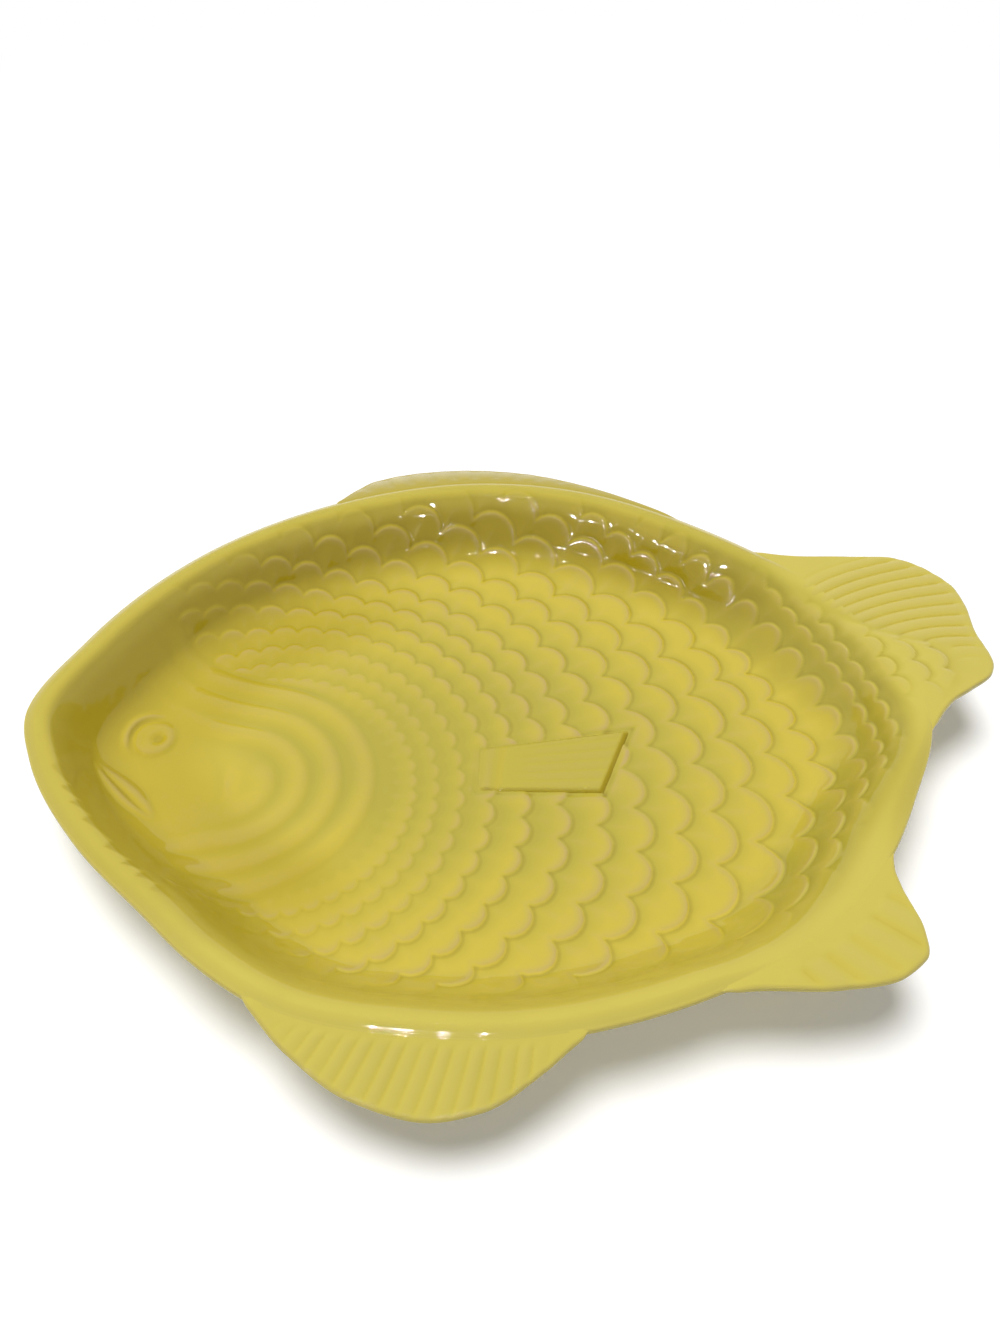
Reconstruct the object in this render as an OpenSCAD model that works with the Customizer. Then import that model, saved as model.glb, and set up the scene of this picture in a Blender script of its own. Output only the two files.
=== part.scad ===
// Fish shaped serving platter of glazed ceramic, in millimetres.
// The plan is laid out about the middle of the dish: nose towards -X, tail towards +X, back towards +Y.
// A place on the rim is given by its angle about that middle, counted from the tail towards the back.

/* [Dish] */
// Length of the rim from the nose to the root of the tail
body_length = 328; // [260:1:400]
// Width of the rim from the back to the belly
body_width = 256; // [210:1:320]
// Height of the rim's crest above the table
rim_height = 40; // [34:0.5:55]
// Thickness of the clay in the floor and the wall
clay = 5; // [3.5:0.25:7]
// Slope of the wall of the well, in degrees above level
wall_angle = 62; // [52:1:72]
// Radius of the curve between the wall and the floor
floor_fillet = 18; // [8:1:22]
// Drop of the floor from the foot of the wall to the middle
floor_dish = 1.2; // [0:0.1:2.5]

/* [Rim] */
// Width of the rolled rim
rim_width = 10.5; // [8:0.5:16]
// Height of the rim's crest above its inner edge
rim_crown = 3; // [1.5:0.1:4.5]
// Thickness of the rim from its crest to its underside
rim_thickness = 5.2; // [4:0.1:7]
// Rounding of the outer edge of the rim and the fins
edge_round = 1.2; // [0.6:0.1:1.6]
// Extra width of the rim between the anal fin and the tail
rear_flange = 5; // [0:0.5:9]

/* [Foot] */
// Height of the foot ring
foot_height = 5; // [3:0.25:8]
// Width of the foot ring
foot_width = 6; // [4:0.5:10]
// Step from the start of the level underside to the foot ring
foot_setback = 2; // [0:0.5:8]

/* [Fins] */
// Greatest reach of the dorsal fin past the rim
dorsal_reach = 18; // [10:1:30]
// Fall of the dorsal fin's edge below the rim
dorsal_drop = 7; // [0:0.5:12]
// Number of rays in the dorsal fin
dorsal_rays = 18; // [8:1:26]
// Greatest reach of the pelvic fin past the rim
pelvic_reach = 20; // [10:1:30]
// Fall of the pelvic fin's edge below the rim
pelvic_drop = 8; // [0:0.5:12]
// Number of rays in the pelvic fin
pelvic_rays = 18; // [8:1:26]
// Greatest reach of the anal fin past the rim
anal_reach = 25; // [12:1:34]
// Fall of the anal fin's edge below the rim
anal_drop = 2; // [0:0.5:8]
// Number of rays in the anal fin
anal_rays = 7; // [4:1:12]
// Greatest reach of the tail past the rim
tail_reach = 49; // [30:1:65]
// Fall of the tail's edge below the rim
tail_drop = 2; // [0:0.5:8]
// Number of rays in the tail
tail_rays = 24; // [12:1:30]
// Thickness of a fin at its edge
fin_edge = 3.6; // [2.5:0.1:5]
// Height of a fin ray above the hollow beside it
ray_rise = 0.8; // [0:0.1:1.5]

/* [Face] */
// Distance of the eye behind the nose
eye_setback = 39.5; // [34:0.5:54]
// Distance of the eye from the middle of the dish, towards the back
eye_up = 25; // [10:1:30]
// Width of the eye's ball
eye_width = 17; // [12:0.5:20]
// Height of the eye's ball and its brow
eye_rise = 2; // [1:0.1:4]
// Distance of the mouth's middle behind the nose
mouth_setback = 32.5; // [28:0.5:42]
// Distance of the mouth's middle below the middle of the dish, towards the belly
mouth_down = 1; // [0:1:12]
// Length of the lips
lip_length = 34; // [20:1:46]
// Width of one lip
lip_width = 5; // [3:0.5:7]
// Height of the lips
lip_rise = 2; // [0.5:0.1:3]
// Lean of the mouth from the length of the fish, in degrees
mouth_angle = 48; // [35:1:70]

/* [Gills] */
// Distance of the gill ridges' centre behind the nose
gill_setback = 67.5; // [60:0.5:76]
// Radius of the first gill ridge
gill_first = 26; // [20:0.5:30]
// Distance from one gill ridge to the next
gill_pitch = 12.5; // [11:0.25:15]
// Number of gill ridges
gill_count = 3; // [2:1:4]
// Width of a gill ridge
gill_width = 10; // [6:0.5:10.5]
// Height of a gill ridge
gill_rise = 1.3; // [0.5:0.1:2.5]
// Width of the smooth cheek inside the gill ridges
cheek_width = 30; // [16:1:36]

/* [Pectoral fin] */
// Distance of the fin's root from the middle of the dish, towards the nose
pectoral_forward = 2; // [0:1:20]
// Distance of the fin's axis below the middle of the dish, towards the belly
pectoral_down = 4; // [0:1:15]
// Length of the fin along its axis
pectoral_length = 53; // [35:1:75]
// Width of the fin at its root
pectoral_root = 19; // [8:0.5:22]
// Width of the fin at its end
pectoral_end = 28; // [14:0.5:34]
// Slant of the fin's end, the back edge being the longer
pectoral_slant = 15; // [0:1:20]
// Height of the fin's end above the floor
pectoral_rise = 2.2; // [1:0.1:4]
// Number of rays in the fin
pectoral_rays = 7; // [4:1:10]

/* [Scales] */
// Distance behind the nose of the centre that the scales fan out from
scale_setback = 84.5; // [74:0.5:94]
// Distance of that centre below the middle of the dish, towards the belly
scale_down = 3.5; // [0:0.5:8]
// Radius of the first column of scales
scale_first = 55; // [48:0.5:66]
// Step between columns beside the gills
scale_step_small = 8.5; // [7:0.1:11]
// Step between columns in the middle of the dish
scale_step_large = 15; // [11.5:0.1:17]
// Step between columns beside the tail
scale_step_tail = 10.5; // [8:0.1:13]
// Number of columns of scales
scale_columns = 17; // [8:1:19]
// Angle between the scales of one column
scale_pitch_angle = 7.8; // [6:0.1:9]
// Height of a scale's free edge
scale_rise = 1.2; // [0.4:0.1:2]
// Bare strip left round each scale
scale_gap = 0.4; // [0.2:0.1:1]

/* [Hidden] */

// Glaze colours: fins and rim thin and pale, well deeper
glaze = [0.82, 0.75, 0.34];
pale_glaze = [0.86, 0.80, 0.42];
deep_glaze = [0.76, 0.68, 0.27];
bare_clay = [0.86, 0.80, 0.68];

// Outline of the rim: angle and radius, before it is stretched to length and width
rim_shape = [[-166, 145], [-152, 133], [-140, 129], [-125, 126], [-105, 120], [-80, 121], [-62, 127],
             [-40, 141], [-20, 152], [-8, 162], [0, 163], [12, 156], [32, 144], [45, 138.5], [60, 136.5],
             [85, 135.5], [105, 136], [120, 139.5], [140, 148], [160, 158], [172, 166], [180, 160]];
// Outlines of the fins: angle, and share of the fin's reach
dorsal_shape = [[42, 0], [53, 0.12], [65, 0.36], [77, 0.72], [88, 0.93], [97, 1], [103, 0.88], [107, 0.5],
                [113, 0]];
pelvic_shape = [[-132, 0], [-121, 0.43], [-112, 0.83], [-103, 1], [-96, 0.86], [-88, 0.42], [-83, 0.12],
                [-80, 0]];
anal_shape = [[-64, 0], [-59, 0.1], [-50, 0.63], [-44, 0.96], [-41, 0.99], [-38, 0.78], [-34, 0.28],
              [-31, 0.05], [-28, 0]];
tail_shape = [[-10, 0], [-7, 0.06], [-4, 0.2], [-2, 0.4], [0, 0.62], [2, 0.71], [6, 0.77], [11, 0.94],
              [14, 1], [17, 0.97], [20, 0.86], [23, 0.54], [27, 0.2], [30, 0.07], [33, 0]];

// Steps round the dish, along the wall's fillet and across the floor
round_steps = 96;
fillet_steps = 6;
floor_shares = [0.25, 0.5, 0.75];
// Angle of the middle of the rear flange, and half of its spread
flange_angle = -28;
flange_half_angle = 24;
// Shares of the rim's width from its outer edge to its crest, and to the points drawn on either side of it
crest_share = 0.45;
outer_share = 0.22;
inner_share = 0.75;
// Steps across a fin, and the least width at its two ends
fin_steps = 3;
fin_tip = 1.4;
// Sections drawn for each fine ray and for each broad ray
fine_steps = 2;
broad_steps = 4;
// Curve of a fin's fall to its edge, share of the reach where a ray is highest, what is left of it at the edge,
// and share of the reach below which the rays fade
fall_power = 1.5;
ray_top_share = 0.75;
ray_edge_share = 0.4;
ray_fade_share = 0.5;

// Heights of the rim's inner edge, of the floor at the wall's foot and of the rim's underside
inner_z = rim_height - rim_crown;
floor_z = foot_height + clay + floor_dish;
under_z = rim_height - rim_thickness;

// Slope of a shape list at one of its points, limited so that the curve never overshoots
function limited_slope(list, i) =
    i == 0 || i == len(list) - 1 ? 0 :
    let(before = (list[i][1] - list[i - 1][1]) / (list[i][0] - list[i - 1][0]))
    let(after = (list[i + 1][1] - list[i][1]) / (list[i + 1][0] - list[i][0]))
    before * after <= 0 ? 0 : 2 * before * after / (before + after);
// Slope of a closed outline at one of its points
function free_slope(list, i) =
    (list[i + 1][1] - list[i - 1][1]) / (list[i + 1][0] - list[i - 1][0]);
// Cubic piece between two values with given end slopes, at share u of a step of width w
function cubic(a, b, slope_a, slope_b, w, u) =
    (1 + 2 * u) * pow(1 - u, 2) * a + u * pow(1 - u, 2) * w * slope_a
    + u * u * (3 - 2 * u) * b + u * u * (u - 1) * w * slope_b;
function piece_at(list, t) = max([0, for (i = [0 : len(list) - 2]) if (list[i][0] <= t) i]);
// Smooth curve through an open shape list
function open_curve(list, t) =
    let(i = piece_at(list, t))
    let(w = list[i + 1][0] - list[i][0])
    cubic(list[i][1], list[i + 1][1], limited_slope(list, i), limited_slope(list, i + 1), w,
          (t - list[i][0]) / w);
// Smooth closed curve of the rim
turned = function (by) [for (k = rim_shape) [k[0] + by, k[1]]];
rim_loop = concat(turned(-360), turned(0), turned(360));
function raw_radius(t) =
    let(i = piece_at(rim_loop, t))
    let(w = rim_loop[i + 1][0] - rim_loop[i][0])
    cubic(rim_loop[i][1], rim_loop[i + 1][1], free_slope(rim_loop, i), free_slope(rim_loop, i + 1), w,
          (t - rim_loop[i][0]) / w);
function span(values) = max(values) - min(values);
around = [for (k = [0 : round_steps - 1]) -180 + 360 * k / round_steps];
raw_rim = [for (t = around) raw_radius(t) * [cos(t), sin(t)]];
stretch = [body_length / span([for (p = raw_rim) p[0]]), body_width / span([for (p = raw_rim) p[1]])];
nose_x = stretch[0] * min([for (p = raw_rim) p[0]]);

// Ease from 0 to 1 over a share of 0 to 1
function ease(u) = let(v = max(0, min(1, u))) v * v * (3 - 2 * v);
function turn_between(a, b) = abs((a - b + 540) % 360 - 180);
function rim_width_at(t) =
    rim_width + rear_flange * ease(1 - turn_between(t, flange_angle) / flange_half_angle);
// Outer edge of the rim at an angle, and points a given distance inside it on the way to the middle
function rim_edge(t) = let(r = raw_radius(t)) [r * cos(t) * stretch[0], r * sin(t) * stretch[1]];
function inside(t, inset) = let(p = rim_edge(t)) p * (1 - inset / norm(p));
function at_height(p, z) = [p[0], p[1], z];

// Wall of the well and its underside: distance inside the rim's inner edge, and height
function wall_curve(shift, bottom_z, radius) =
    let(corner = shift + (inner_z - bottom_z) / tan(wall_angle))
    let(tangent = radius * tan(wall_angle / 2))
    [for (k = [0 : fillet_steps])
        let(lean = wall_angle * (1 - k / fillet_steps))
        [corner + tangent - radius * sin(lean), bottom_z + radius * (1 - cos(lean))]];
function straight_wall(from, to) = [from, (from + to) / 2];
well_fillet = wall_curve(0, floor_z, floor_fillet);
wall_profile = concat(straight_wall([0, inner_z], well_fillet[0]), well_fillet);
under_start = [-clay * sin(wall_angle), inner_z - clay * cos(wall_angle)];
under_profile = concat([under_start],
                    wall_curve(-clay / sin(wall_angle), foot_height, floor_fillet + clay));
well_run = wall_profile[len(wall_profile) - 1][0];
under_run = under_profile[len(under_profile) - 1][0];
// Length along the wall from the floor up to each point of the wall
function wall_length(i) =
    i == len(wall_profile) - 1 ? 0 : wall_length(i + 1) + norm(wall_profile[i + 1] - wall_profile[i]);
run_by_length = [for (i = [len(wall_profile) - 1 : -1 : 0]) [wall_length(i), wall_profile[i][0]]];
wall_reach = wall_length(0);

// Radius of the floor at an angle, and the angle of a point of the plan
function floor_radius(t) = norm(rim_edge(t)) - rim_width_at(t) - well_run;
function angle_of(p) = atan2(p[1] / stretch[1], p[0] / stretch[0]);
// Height of the well's surface over a point of the plan
function well_z(p) =
    let(t = angle_of(p))
    let(run = norm(rim_edge(t)) - rim_width_at(t) - norm(p))
    run < well_run ? lookup(run, wall_profile)
                   : floor_z - floor_dish * (1 - pow(norm(p) / floor_radius(t), 2));
// Clearance that the relief keeps from the flat facets of the well, and the step its slope is taken over
relief_seat = 0.15;
slope_step = 0.5;
// Point at a height above the relief's seat on the well, square to the surface
function lifted(p, height) =
    let(d = slope_step)
    let(slope_x = (well_z(p + [d, 0]) - well_z(p - [d, 0])) / (2 * d))
    let(slope_y = (well_z(p + [0, d]) - well_z(p - [0, d])) / (2 * d))
    let(up = [-slope_x, -slope_y, 1])
    at_height(p, well_z(p)) + (relief_seat + height) * up / norm(up);
// Plan of a point that is laid out flat, with the wall folded down about the floor's edge
function folded(q) =
    let(t = angle_of(q))
    let(beyond = norm(q) - floor_radius(t))
    let(up = min(beyond, wall_reach - scale_gap))
    beyond <= 0 ? q : q / norm(q) * (floor_radius(t) + well_run - lookup(up, run_by_length));
function up_the_wall(q) = norm(q) - floor_radius(angle_of(q));

// Faces of rows of points joined row to row; closed rows join their last point to their first,
// and flip takes the other diagonal of each step, where a neighbour's facets have to match
function strip(rows, cols, closed, first = 0, flip = false) =
    [for (r = [0 : rows - 2], c = [0 : cols - (closed ? 1 : 2)])
        let(a = first + r * cols + c)
        let(b = first + r * cols + (c + 1) % cols)
        each flip ? [[a, b, a + cols], [b, b + cols, a + cols]]
                  : [[a, b, b + cols], [a, b + cols, a + cols]]];
function flat(lists) = [for (list = lists) each list];
function shifted(faces, by) = [for (f = faces) [for (i = f) i + by]];
// Slab over a grid of the well: a top and a bottom grid of equal rows, with walls between their borders
function slab_faces(rows, cols) =
    let(n = rows * cols)
    let(top = strip(rows, cols, false))
    let(bottom = [for (f = strip(rows, cols, false)) [f[2] + n, f[1] + n, f[0] + n]])
    let(border = concat([for (c = [0 : cols - 1]) c], [for (r = [1 : rows - 1]) r * cols + cols - 1],
                        [for (c = [cols - 2 : -1 : 0]) (rows - 1) * cols + c],
                        [for (r = [rows - 2 : -1 : 1]) r * cols]))
    let(m = len(border))
    concat(top, bottom, [for (k = [0 : m - 1])
        let(a = border[k])
        let(b = border[(k + 1) % m])
        each [[a, a + n, b + n], [a, b + n, b]]]);

// Section of the rim at an angle: distance inside the edge, and height
function crown_z(t, inset) =
    let(w = rim_width_at(t))
    rim_height - rim_crown * pow((inset - crest_share * w) / (w - crest_share * w), 2);
function rim_section(t) =
    let(w = rim_width_at(t))
    let(top_z = crown_z(t, edge_round))
    concat([for (inset = [edge_round, outer_share * w, crest_share * w, inner_share * w, w])
               [inset, crown_z(t, inset)]],
           [[w + under_start[0], under_start[1]], [edge_round, under_z], [0, (top_z + under_z) / 2]]);

// Section of a fin at an angle, from the top of the rim's edge outwards and back below
function fin_section(t, shape, reach, drop, ray) =
    let(share = open_curve(shape, t))
    let(out = max(fin_tip, reach * share))
    let(top_z = crown_z(t, edge_round))
    let(fall = function (u) drop * share * pow(u, fall_power))
    let(full = ray * min(1, share / ray_fade_share))
    let(swell = function (u) full * sin(90 * min(u, ray_top_share) / ray_top_share))
    concat([for (k = [0 : fin_steps])
               let(u = k / fin_steps)
               [edge_round - u * out, top_z - fall(u) + swell(u) * (u < 1 ? 1 : ray_edge_share)]],
           [[-out, top_z - fall(1) - fin_edge / 2]],
           [for (k = [fin_steps : -1 : 0])
               let(u = k / fin_steps)
               let(thin = (top_z - under_z - fin_edge) * u)
               [edge_round - u * out, under_z - fall(u) + thin]],
           [[0, (top_z + under_z) / 2]]);
function fin_angles(shape, count) =
    let(first = shape[0][0])
    let(last = shape[len(shape) - 1][0])
    [for (k = [0 : count]) first + (last - first) * k / count];
function section_points(t, section) = [for (s = section) at_height(inside(t, s[0]), s[1])];

// Middle of the whole plan, fins and all, which stands over the origin
fin_edges = [[dorsal_shape, dorsal_reach, dorsal_rays], [pelvic_shape, pelvic_reach, pelvic_rays],
             [anal_shape, anal_reach, anal_rays], [tail_shape, tail_reach, tail_rays]];
plan_edge = concat([for (t = around) rim_edge(t)],
                   [for (f = fin_edges) for (t = fin_angles(f[0], broad_steps * f[2]))
                       inside(t, -f[1] * open_curve(f[0], t))]);
plan_x = [for (p = plan_edge) p[0]];
plan_y = [for (p = plan_edge) p[1]];
middle = [(max(plan_x) + min(plan_x)) / 2, (max(plan_y) + min(plan_y)) / 2, 0];
module about_middle() { translate(-middle) children(); }

// Loop of points at a distance inside the rim's inner edge, at one height
function wall_ring(place) = [for (t = around) at_height(inside(t, rim_width_at(t) + place[0]), place[1])];
floor_edge = wall_profile[len(wall_profile) - 1];
under_edge = under_profile[len(under_profile) - 1];

// Floor slab of the well, a little lower in the middle, with a level underside
module well_floor() {
    top_rings = concat(
        [for (share = floor_shares)
            [for (t = around)
                let(p = inside(t, norm(rim_edge(t)) - share * floor_radius(t)))
                at_height(p, well_z(p))]],
        [wall_ring(floor_edge)]);
    rings = concat(top_rings, [wall_ring(under_edge)]);
    count = len(rings) * round_steps;
    last = count - round_steps;
    points = concat(flat(rings), [[0, 0, floor_z - floor_dish], [0, 0, foot_height]]);
    faces = concat(
        strip(len(top_rings), round_steps, true),
        strip(2, round_steps, true, first = last - round_steps, flip = true),
        [for (c = [0 : round_steps - 1]) [count, (c + 1) % round_steps, c]],
        [for (c = [0 : round_steps - 1]) [count + 1, last + c, last + (c + 1) % round_steps]]);
    color(deep_glaze) about_middle() polyhedron(points, faces);
}

// Sloping wall from the floor's edge up to the rim
module well_wall() {
    rings = concat([for (i = [len(wall_profile) - 1 : -1 : 0]) wall_ring(wall_profile[i])],
                   [for (place = under_profile) wall_ring(place)]);
    count = len(rings) * round_steps;
    faces = [for (f = strip(len(rings) + 1, round_steps, true)) [for (i = f) i % count]];
    color(deep_glaze) about_middle() polyhedron(flat(rings), faces);
}

// Rolled bead on top of the wall
module rim() {
    sections = [for (t = around) section_points(t, rim_section(t))];
    size = len(sections[0]);
    faces = [for (f = strip(round_steps + 1, size, true)) [for (i = f) i % (round_steps * size)]];
    color(pale_glaze) about_middle() polyhedron(flat(sections), faces);
}

// Ring under the level floor that the platter stands on
module foot_ring() {
    outer = [for (t = around) inside(t, rim_width_at(t) + under_run + foot_setback)];
    inner = [for (t = around) inside(t, rim_width_at(t) + under_run + foot_setback + foot_width)];
    color(bare_clay) about_middle() linear_extrude(foot_height) difference() {
        polygon(outer);
        polygon(inner);
    }
}

// One fin on the rim's outer edge, with a soft ray every few sections
module fin(shape, reach, drop, rays, steps) {
    angles = fin_angles(shape, steps * rays);
    sections = [for (k = [0 : len(angles) - 1])
        section_points(angles[k], fin_section(angles[k], shape, reach, drop,
                                              ray_rise / 2 * cos(360 * k / steps)))];
    size = len(sections[0]);
    count = len(sections);
    start_cap = [for (c = [0 : size - 1]) c];
    end_cap = [for (c = [size - 1 : -1 : 0]) (count - 1) * size + c];
    faces = concat([for (f = strip(count, size, true)) [f[2], f[1], f[0]]], [start_cap, end_cap]);
    color(pale_glaze) about_middle() polyhedron(flat(sections), faces);
}
module dorsal_fin() { fin(dorsal_shape, dorsal_reach, dorsal_drop, dorsal_rays, fine_steps); }
module pelvic_fin() { fin(pelvic_shape, pelvic_reach, pelvic_drop, pelvic_rays, fine_steps); }
module anal_fin() { fin(anal_shape, anal_reach, anal_drop, anal_rays, broad_steps); }
module tail_fin() { fin(tail_shape, tail_reach, tail_drop, tail_rays, broad_steps); }

// Raised fan on the floor: share along it, and share across it from the belly edge to the back edge
pectoral_tail = -pectoral_forward;
// Share of the end's height that the root has, and how far the rays stand above and below the fan
pectoral_root_share = 0.35;
pectoral_ray_rise = 0.25;
function pectoral_point(along, across) =
    let(half = (pectoral_root + (pectoral_end - pectoral_root) * along) / 2)
    let(end_x = pectoral_length + pectoral_slant * (across - 0.5))
    [pectoral_tail + along * end_x, -pectoral_down + half * (2 * across - 1)];
module pectoral_fin() {
    rows = 5;
    cols = 4 * pectoral_rays + 1;
    height = function (along, c)
        pectoral_rise * (pectoral_root_share + (1 - pectoral_root_share) * along)
        + pectoral_ray_rise * sin(90 * c);
    top = [for (r = [0 : rows - 1], c = [0 : cols - 1])
        lifted(pectoral_point(r / (rows - 1), c / (cols - 1)), height(r / (rows - 1), c))];
    bottom = [for (r = [0 : rows - 1], c = [0 : cols - 1])
        lifted(pectoral_point(r / (rows - 1), c / (cols - 1)), 0)];
    color(glaze) about_middle() polyhedron(concat(top, bottom), slab_faces(rows, cols));
}

// Round relief on the well: share of the radius and height of each ring from the middle out
module boss(centre, radius, rings, steps) {
    plan = [for (ring = rings) [for (k = [0 : steps - 1])
        centre + radius * ring[0] * [cos(360 * k / steps), sin(360 * k / steps)]]];
    n = len(rings);
    top = [for (r = [0 : n - 1]) [for (p = plan[r]) lifted(p, rings[r][1])]];
    bottom = [for (r = [n - 2 : -1 : 0]) [for (p = plan[r]) lifted(p, 0)]];
    rows = concat(top, bottom);
    count = len(rows) * steps;
    points = concat(flat(rows), [lifted(centre, rings[0][1]), lifted(centre, 0)]);
    faces = concat(strip(len(rows), steps, true),
                   [for (c = [0 : steps - 1]) [count, (c + 1) % steps, c]],
                   [for (c = [0 : steps - 1]) [count + 1, count - steps + c, count - steps + (c + 1) % steps]]);
    about_middle() polyhedron(points, faces);
}

// Ball of the eye round its pupil: shares of the half width and of the height
eye_profile = [[0.2, 0.5], [0.36, 0.55], [0.48, 1], [0.8, 0.85], [1, 0]];
cheek_profile = [[0.3, 1], [0.6, 0.7], [0.85, 0.25], [1, 0]];
function raised(profile, height) = [for (ring = profile) [ring[0], ring[1] * height]];
boss_steps = 24;

// Ridge along a line of plan points: half its width at each point, and its height there
function ridge_points(line, halves, heights) = flat([for (k = [0 : len(line) - 1])
    let(ahead = line[min(k + 1, len(line) - 1)] - line[max(k - 1, 0)])
    let(side = [-ahead[1], ahead[0]] / norm(ahead) * halves[k])
    [lifted(line[k] + side, 0), lifted(line[k], heights[k]), lifted(line[k] - side, 0), lifted(line[k], 0)]]);
function ridge_faces(count) =
    let(last = 4 * (count - 1))
    concat([for (f = strip(count, 4, true)) [f[2], f[1], f[0]]],
           [[0, 1, 2, 3], [last + 3, last + 2, last + 1, last]]);

// Eye with the brow that stands round it on the side of the nose: angles of the brow's ends, its distance from
// the eye's middle and half its width as shares of the eye's width
brow_from = 60;
brow_to = 220;
brow_place_share = 0.64;
brow_half_share = 0.11;
module eye() {
    steps = 12;
    centre = [nose_x + eye_setback, eye_up];
    line = [for (k = [0 : steps])
        let(turn = brow_from + (brow_to - brow_from) * k / steps)
        centre + brow_place_share * eye_width * [cos(turn), sin(turn)]];
    rise = function (k) sin(20 + 140 * k / steps);
    halves = [for (k = [0 : steps]) brow_half_share * eye_width * rise(k)];
    heights = [for (k = [0 : steps]) eye_rise * rise(k)];
    color(glaze) boss(centre, eye_width / 2, raised(eye_profile, eye_rise), boss_steps);
    color(glaze) about_middle() polyhedron(ridge_points(line, halves, heights), ridge_faces(steps + 1));
}

// Two lips that close at the corners of the mouth: how blunt their ends are, and shares of a lip's width
// from the mouth's line to the lip at the corners, further out in the middle, and across half a lip
lip_blunt_share = 0.06;
corner_share = 0.1;
lip_share = 0.5;
half_share = 0.48;
module lips() {
    steps = 12;
    ahead = [cos(mouth_angle), -sin(mouth_angle)];
    side = [sin(mouth_angle), cos(mouth_angle)];
    bow = function (k) sin(180 * (lip_blunt_share + (1 - 2 * lip_blunt_share) * k / steps));
    color(glaze) for (way = [-1, 1]) {
        line = [for (k = [0 : steps])
            [nose_x + mouth_setback, -mouth_down] + lip_length * (k / steps - 0.5) * ahead
            + way * lip_width * (corner_share + lip_share * bow(k)) * side];
        halves = [for (k = [0 : steps]) lip_width * half_share * bow(k)];
        heights = [for (k = [0 : steps]) lip_rise * sqrt(bow(k))];
        about_middle() polyhedron(ridge_points(line, halves, heights), ridge_faces(steps + 1));
    }
}

// Gill lines: round behind the cheek, straight on towards the brow and the throat
gill_centre = [nose_x + gill_setback, 0];
brow_angle = 68;
throat_angle = -87;
throat_share = 0.88;
brow_share = 0.87;
// Height left at a ridge's end, and the share of its length over which it fades
gill_tip_share = 0.25;
gill_fade_share = 0.2;
function gill_point(radius, turn) =
    let(past = max(0, turn - brow_angle, throat_angle - turn))
    let(p = radius / cos(past) * [cos(turn), sin(turn)])
    gill_centre + [p[0], p[1] * (turn < 0 ? throat_share : brow_share)];
function gill_radius(p) =
    let(d = p - gill_centre)
    let(e = [d[0], d[1] / (d[1] < 0 ? throat_share : brow_share)])
    let(turn = atan2(e[1], e[0]))
    norm(e) * cos(max(0, min(90, max(turn - brow_angle, throat_angle - turn))));
module gill_ridges() {
    steps = 30;
    first_angle = -116;
    last_angle = 98;
    color(glaze) for (n = [0 : gill_count - 1]) {
        line = [for (k = [0 : steps])
            let(turn = first_angle + (last_angle - first_angle) * k / steps)
            folded(gill_point(gill_first + n * gill_pitch, turn))];
        fade = function (k) min(1, gill_tip_share + min(k, steps - k) / (gill_fade_share * steps));
        halves = [for (k = [0 : steps]) gill_width / 2 * sqrt(fade(k))];
        heights = [for (k = [0 : steps]) gill_rise * fade(k)];
        about_middle() polyhedron(ridge_points(line, halves, heights), ridge_faces(steps + 1));
    }
    color(glaze) boss(gill_centre, cheek_width / 2, raised(cheek_profile, gill_rise), boss_steps);
}

// Scales: columns on circles about one centre, alternate columns half a scale apart
scale_centre = [nose_x + scale_setback, -scale_down];
scale_turn_angle = 1.5;
// Radius of a scale's free edge as a share of its width, and the share of the pitch out to its tips
bulge_share = 0.56;
tip_share = 0.47;
edge_steps = 4;
edge_half_angle = asin(0.5 / bulge_share);
// Columns over which the step grows behind the gills, and where it begins to shrink towards the tail
step_growth = 4;
step_shrinks_at = 9;
function column_step(i) =
    scale_step_small + (scale_step_large - scale_step_small) * ease(i / step_growth)
    - (scale_step_large - scale_step_tail) * ease((i - step_shrinks_at) / step_growth);
function column_radius(i) =
    i < 0 ? scale_first - scale_step_small : i == 0 ? scale_first : column_radius(i - 1) + column_step(i - 1);
column_radii = [for (i = [-1 : scale_columns - 1]) column_radius(i)];
function scale_width(r) = r * scale_pitch_angle * PI / 180;
function on_column(r, turn) = scale_centre + r * [cos(turn), sin(turn)];
// How the columns lean away from the belly: angle about their centre, and share of the radius
column_lean = [[-180, 0.88], [-100, 0.89], [-60, 0.93], [-40, 0.975], [-20, 1], [-10, 0.982], [0, 0.952],
               [10, 0.925], [20, 0.912], [45, 0.895], [110, 0.885], [180, 0.88]];
tail_lean_share = 0.5;
function leaned(q) =
    let(d = q - scale_centre)
    let(r = norm(d))
    let(grown = ease((r - scale_first - 2 * scale_step_small) / (3 * scale_step_large)))
    let(back = 1 - tail_lean_share * ease((r - 13 * scale_step_large) / (2 * scale_step_large)))
    scale_centre + d * (1 - grown * back * (1 - open_curve(column_lean, atan2(d[1], d[0]))));
// Plan of one scale laid flat: its root, the tips of the two scales before it, and its round free edge
function scale_plan(i, turn) =
    let(before = column_radii[i])
    let(here = column_radii[i + 1])
    let(bulge = bulge_share * scale_width(here))
    let(root_dip = bulge_share * scale_width(before) * (1 - cos(edge_half_angle)))
    let(ahead = [cos(turn), sin(turn)])
    let(side = [-sin(turn), cos(turn)])
    let(trim = edge_half_angle - 2 * asin(scale_gap / (2 * bulge)))
    let(edge = [for (k = [0 : edge_steps])
        let(lean = trim * (2 * k / edge_steps - 1))
        on_column(here - bulge, turn) + bulge * (cos(lean) * ahead + sin(lean) * side)])
    concat([on_column(before - root_dip + scale_gap, turn),
            on_column(before + scale_gap, turn - tip_share * scale_pitch_angle)], edge,
           [on_column(before + scale_gap, turn + tip_share * scale_pitch_angle)]);
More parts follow.
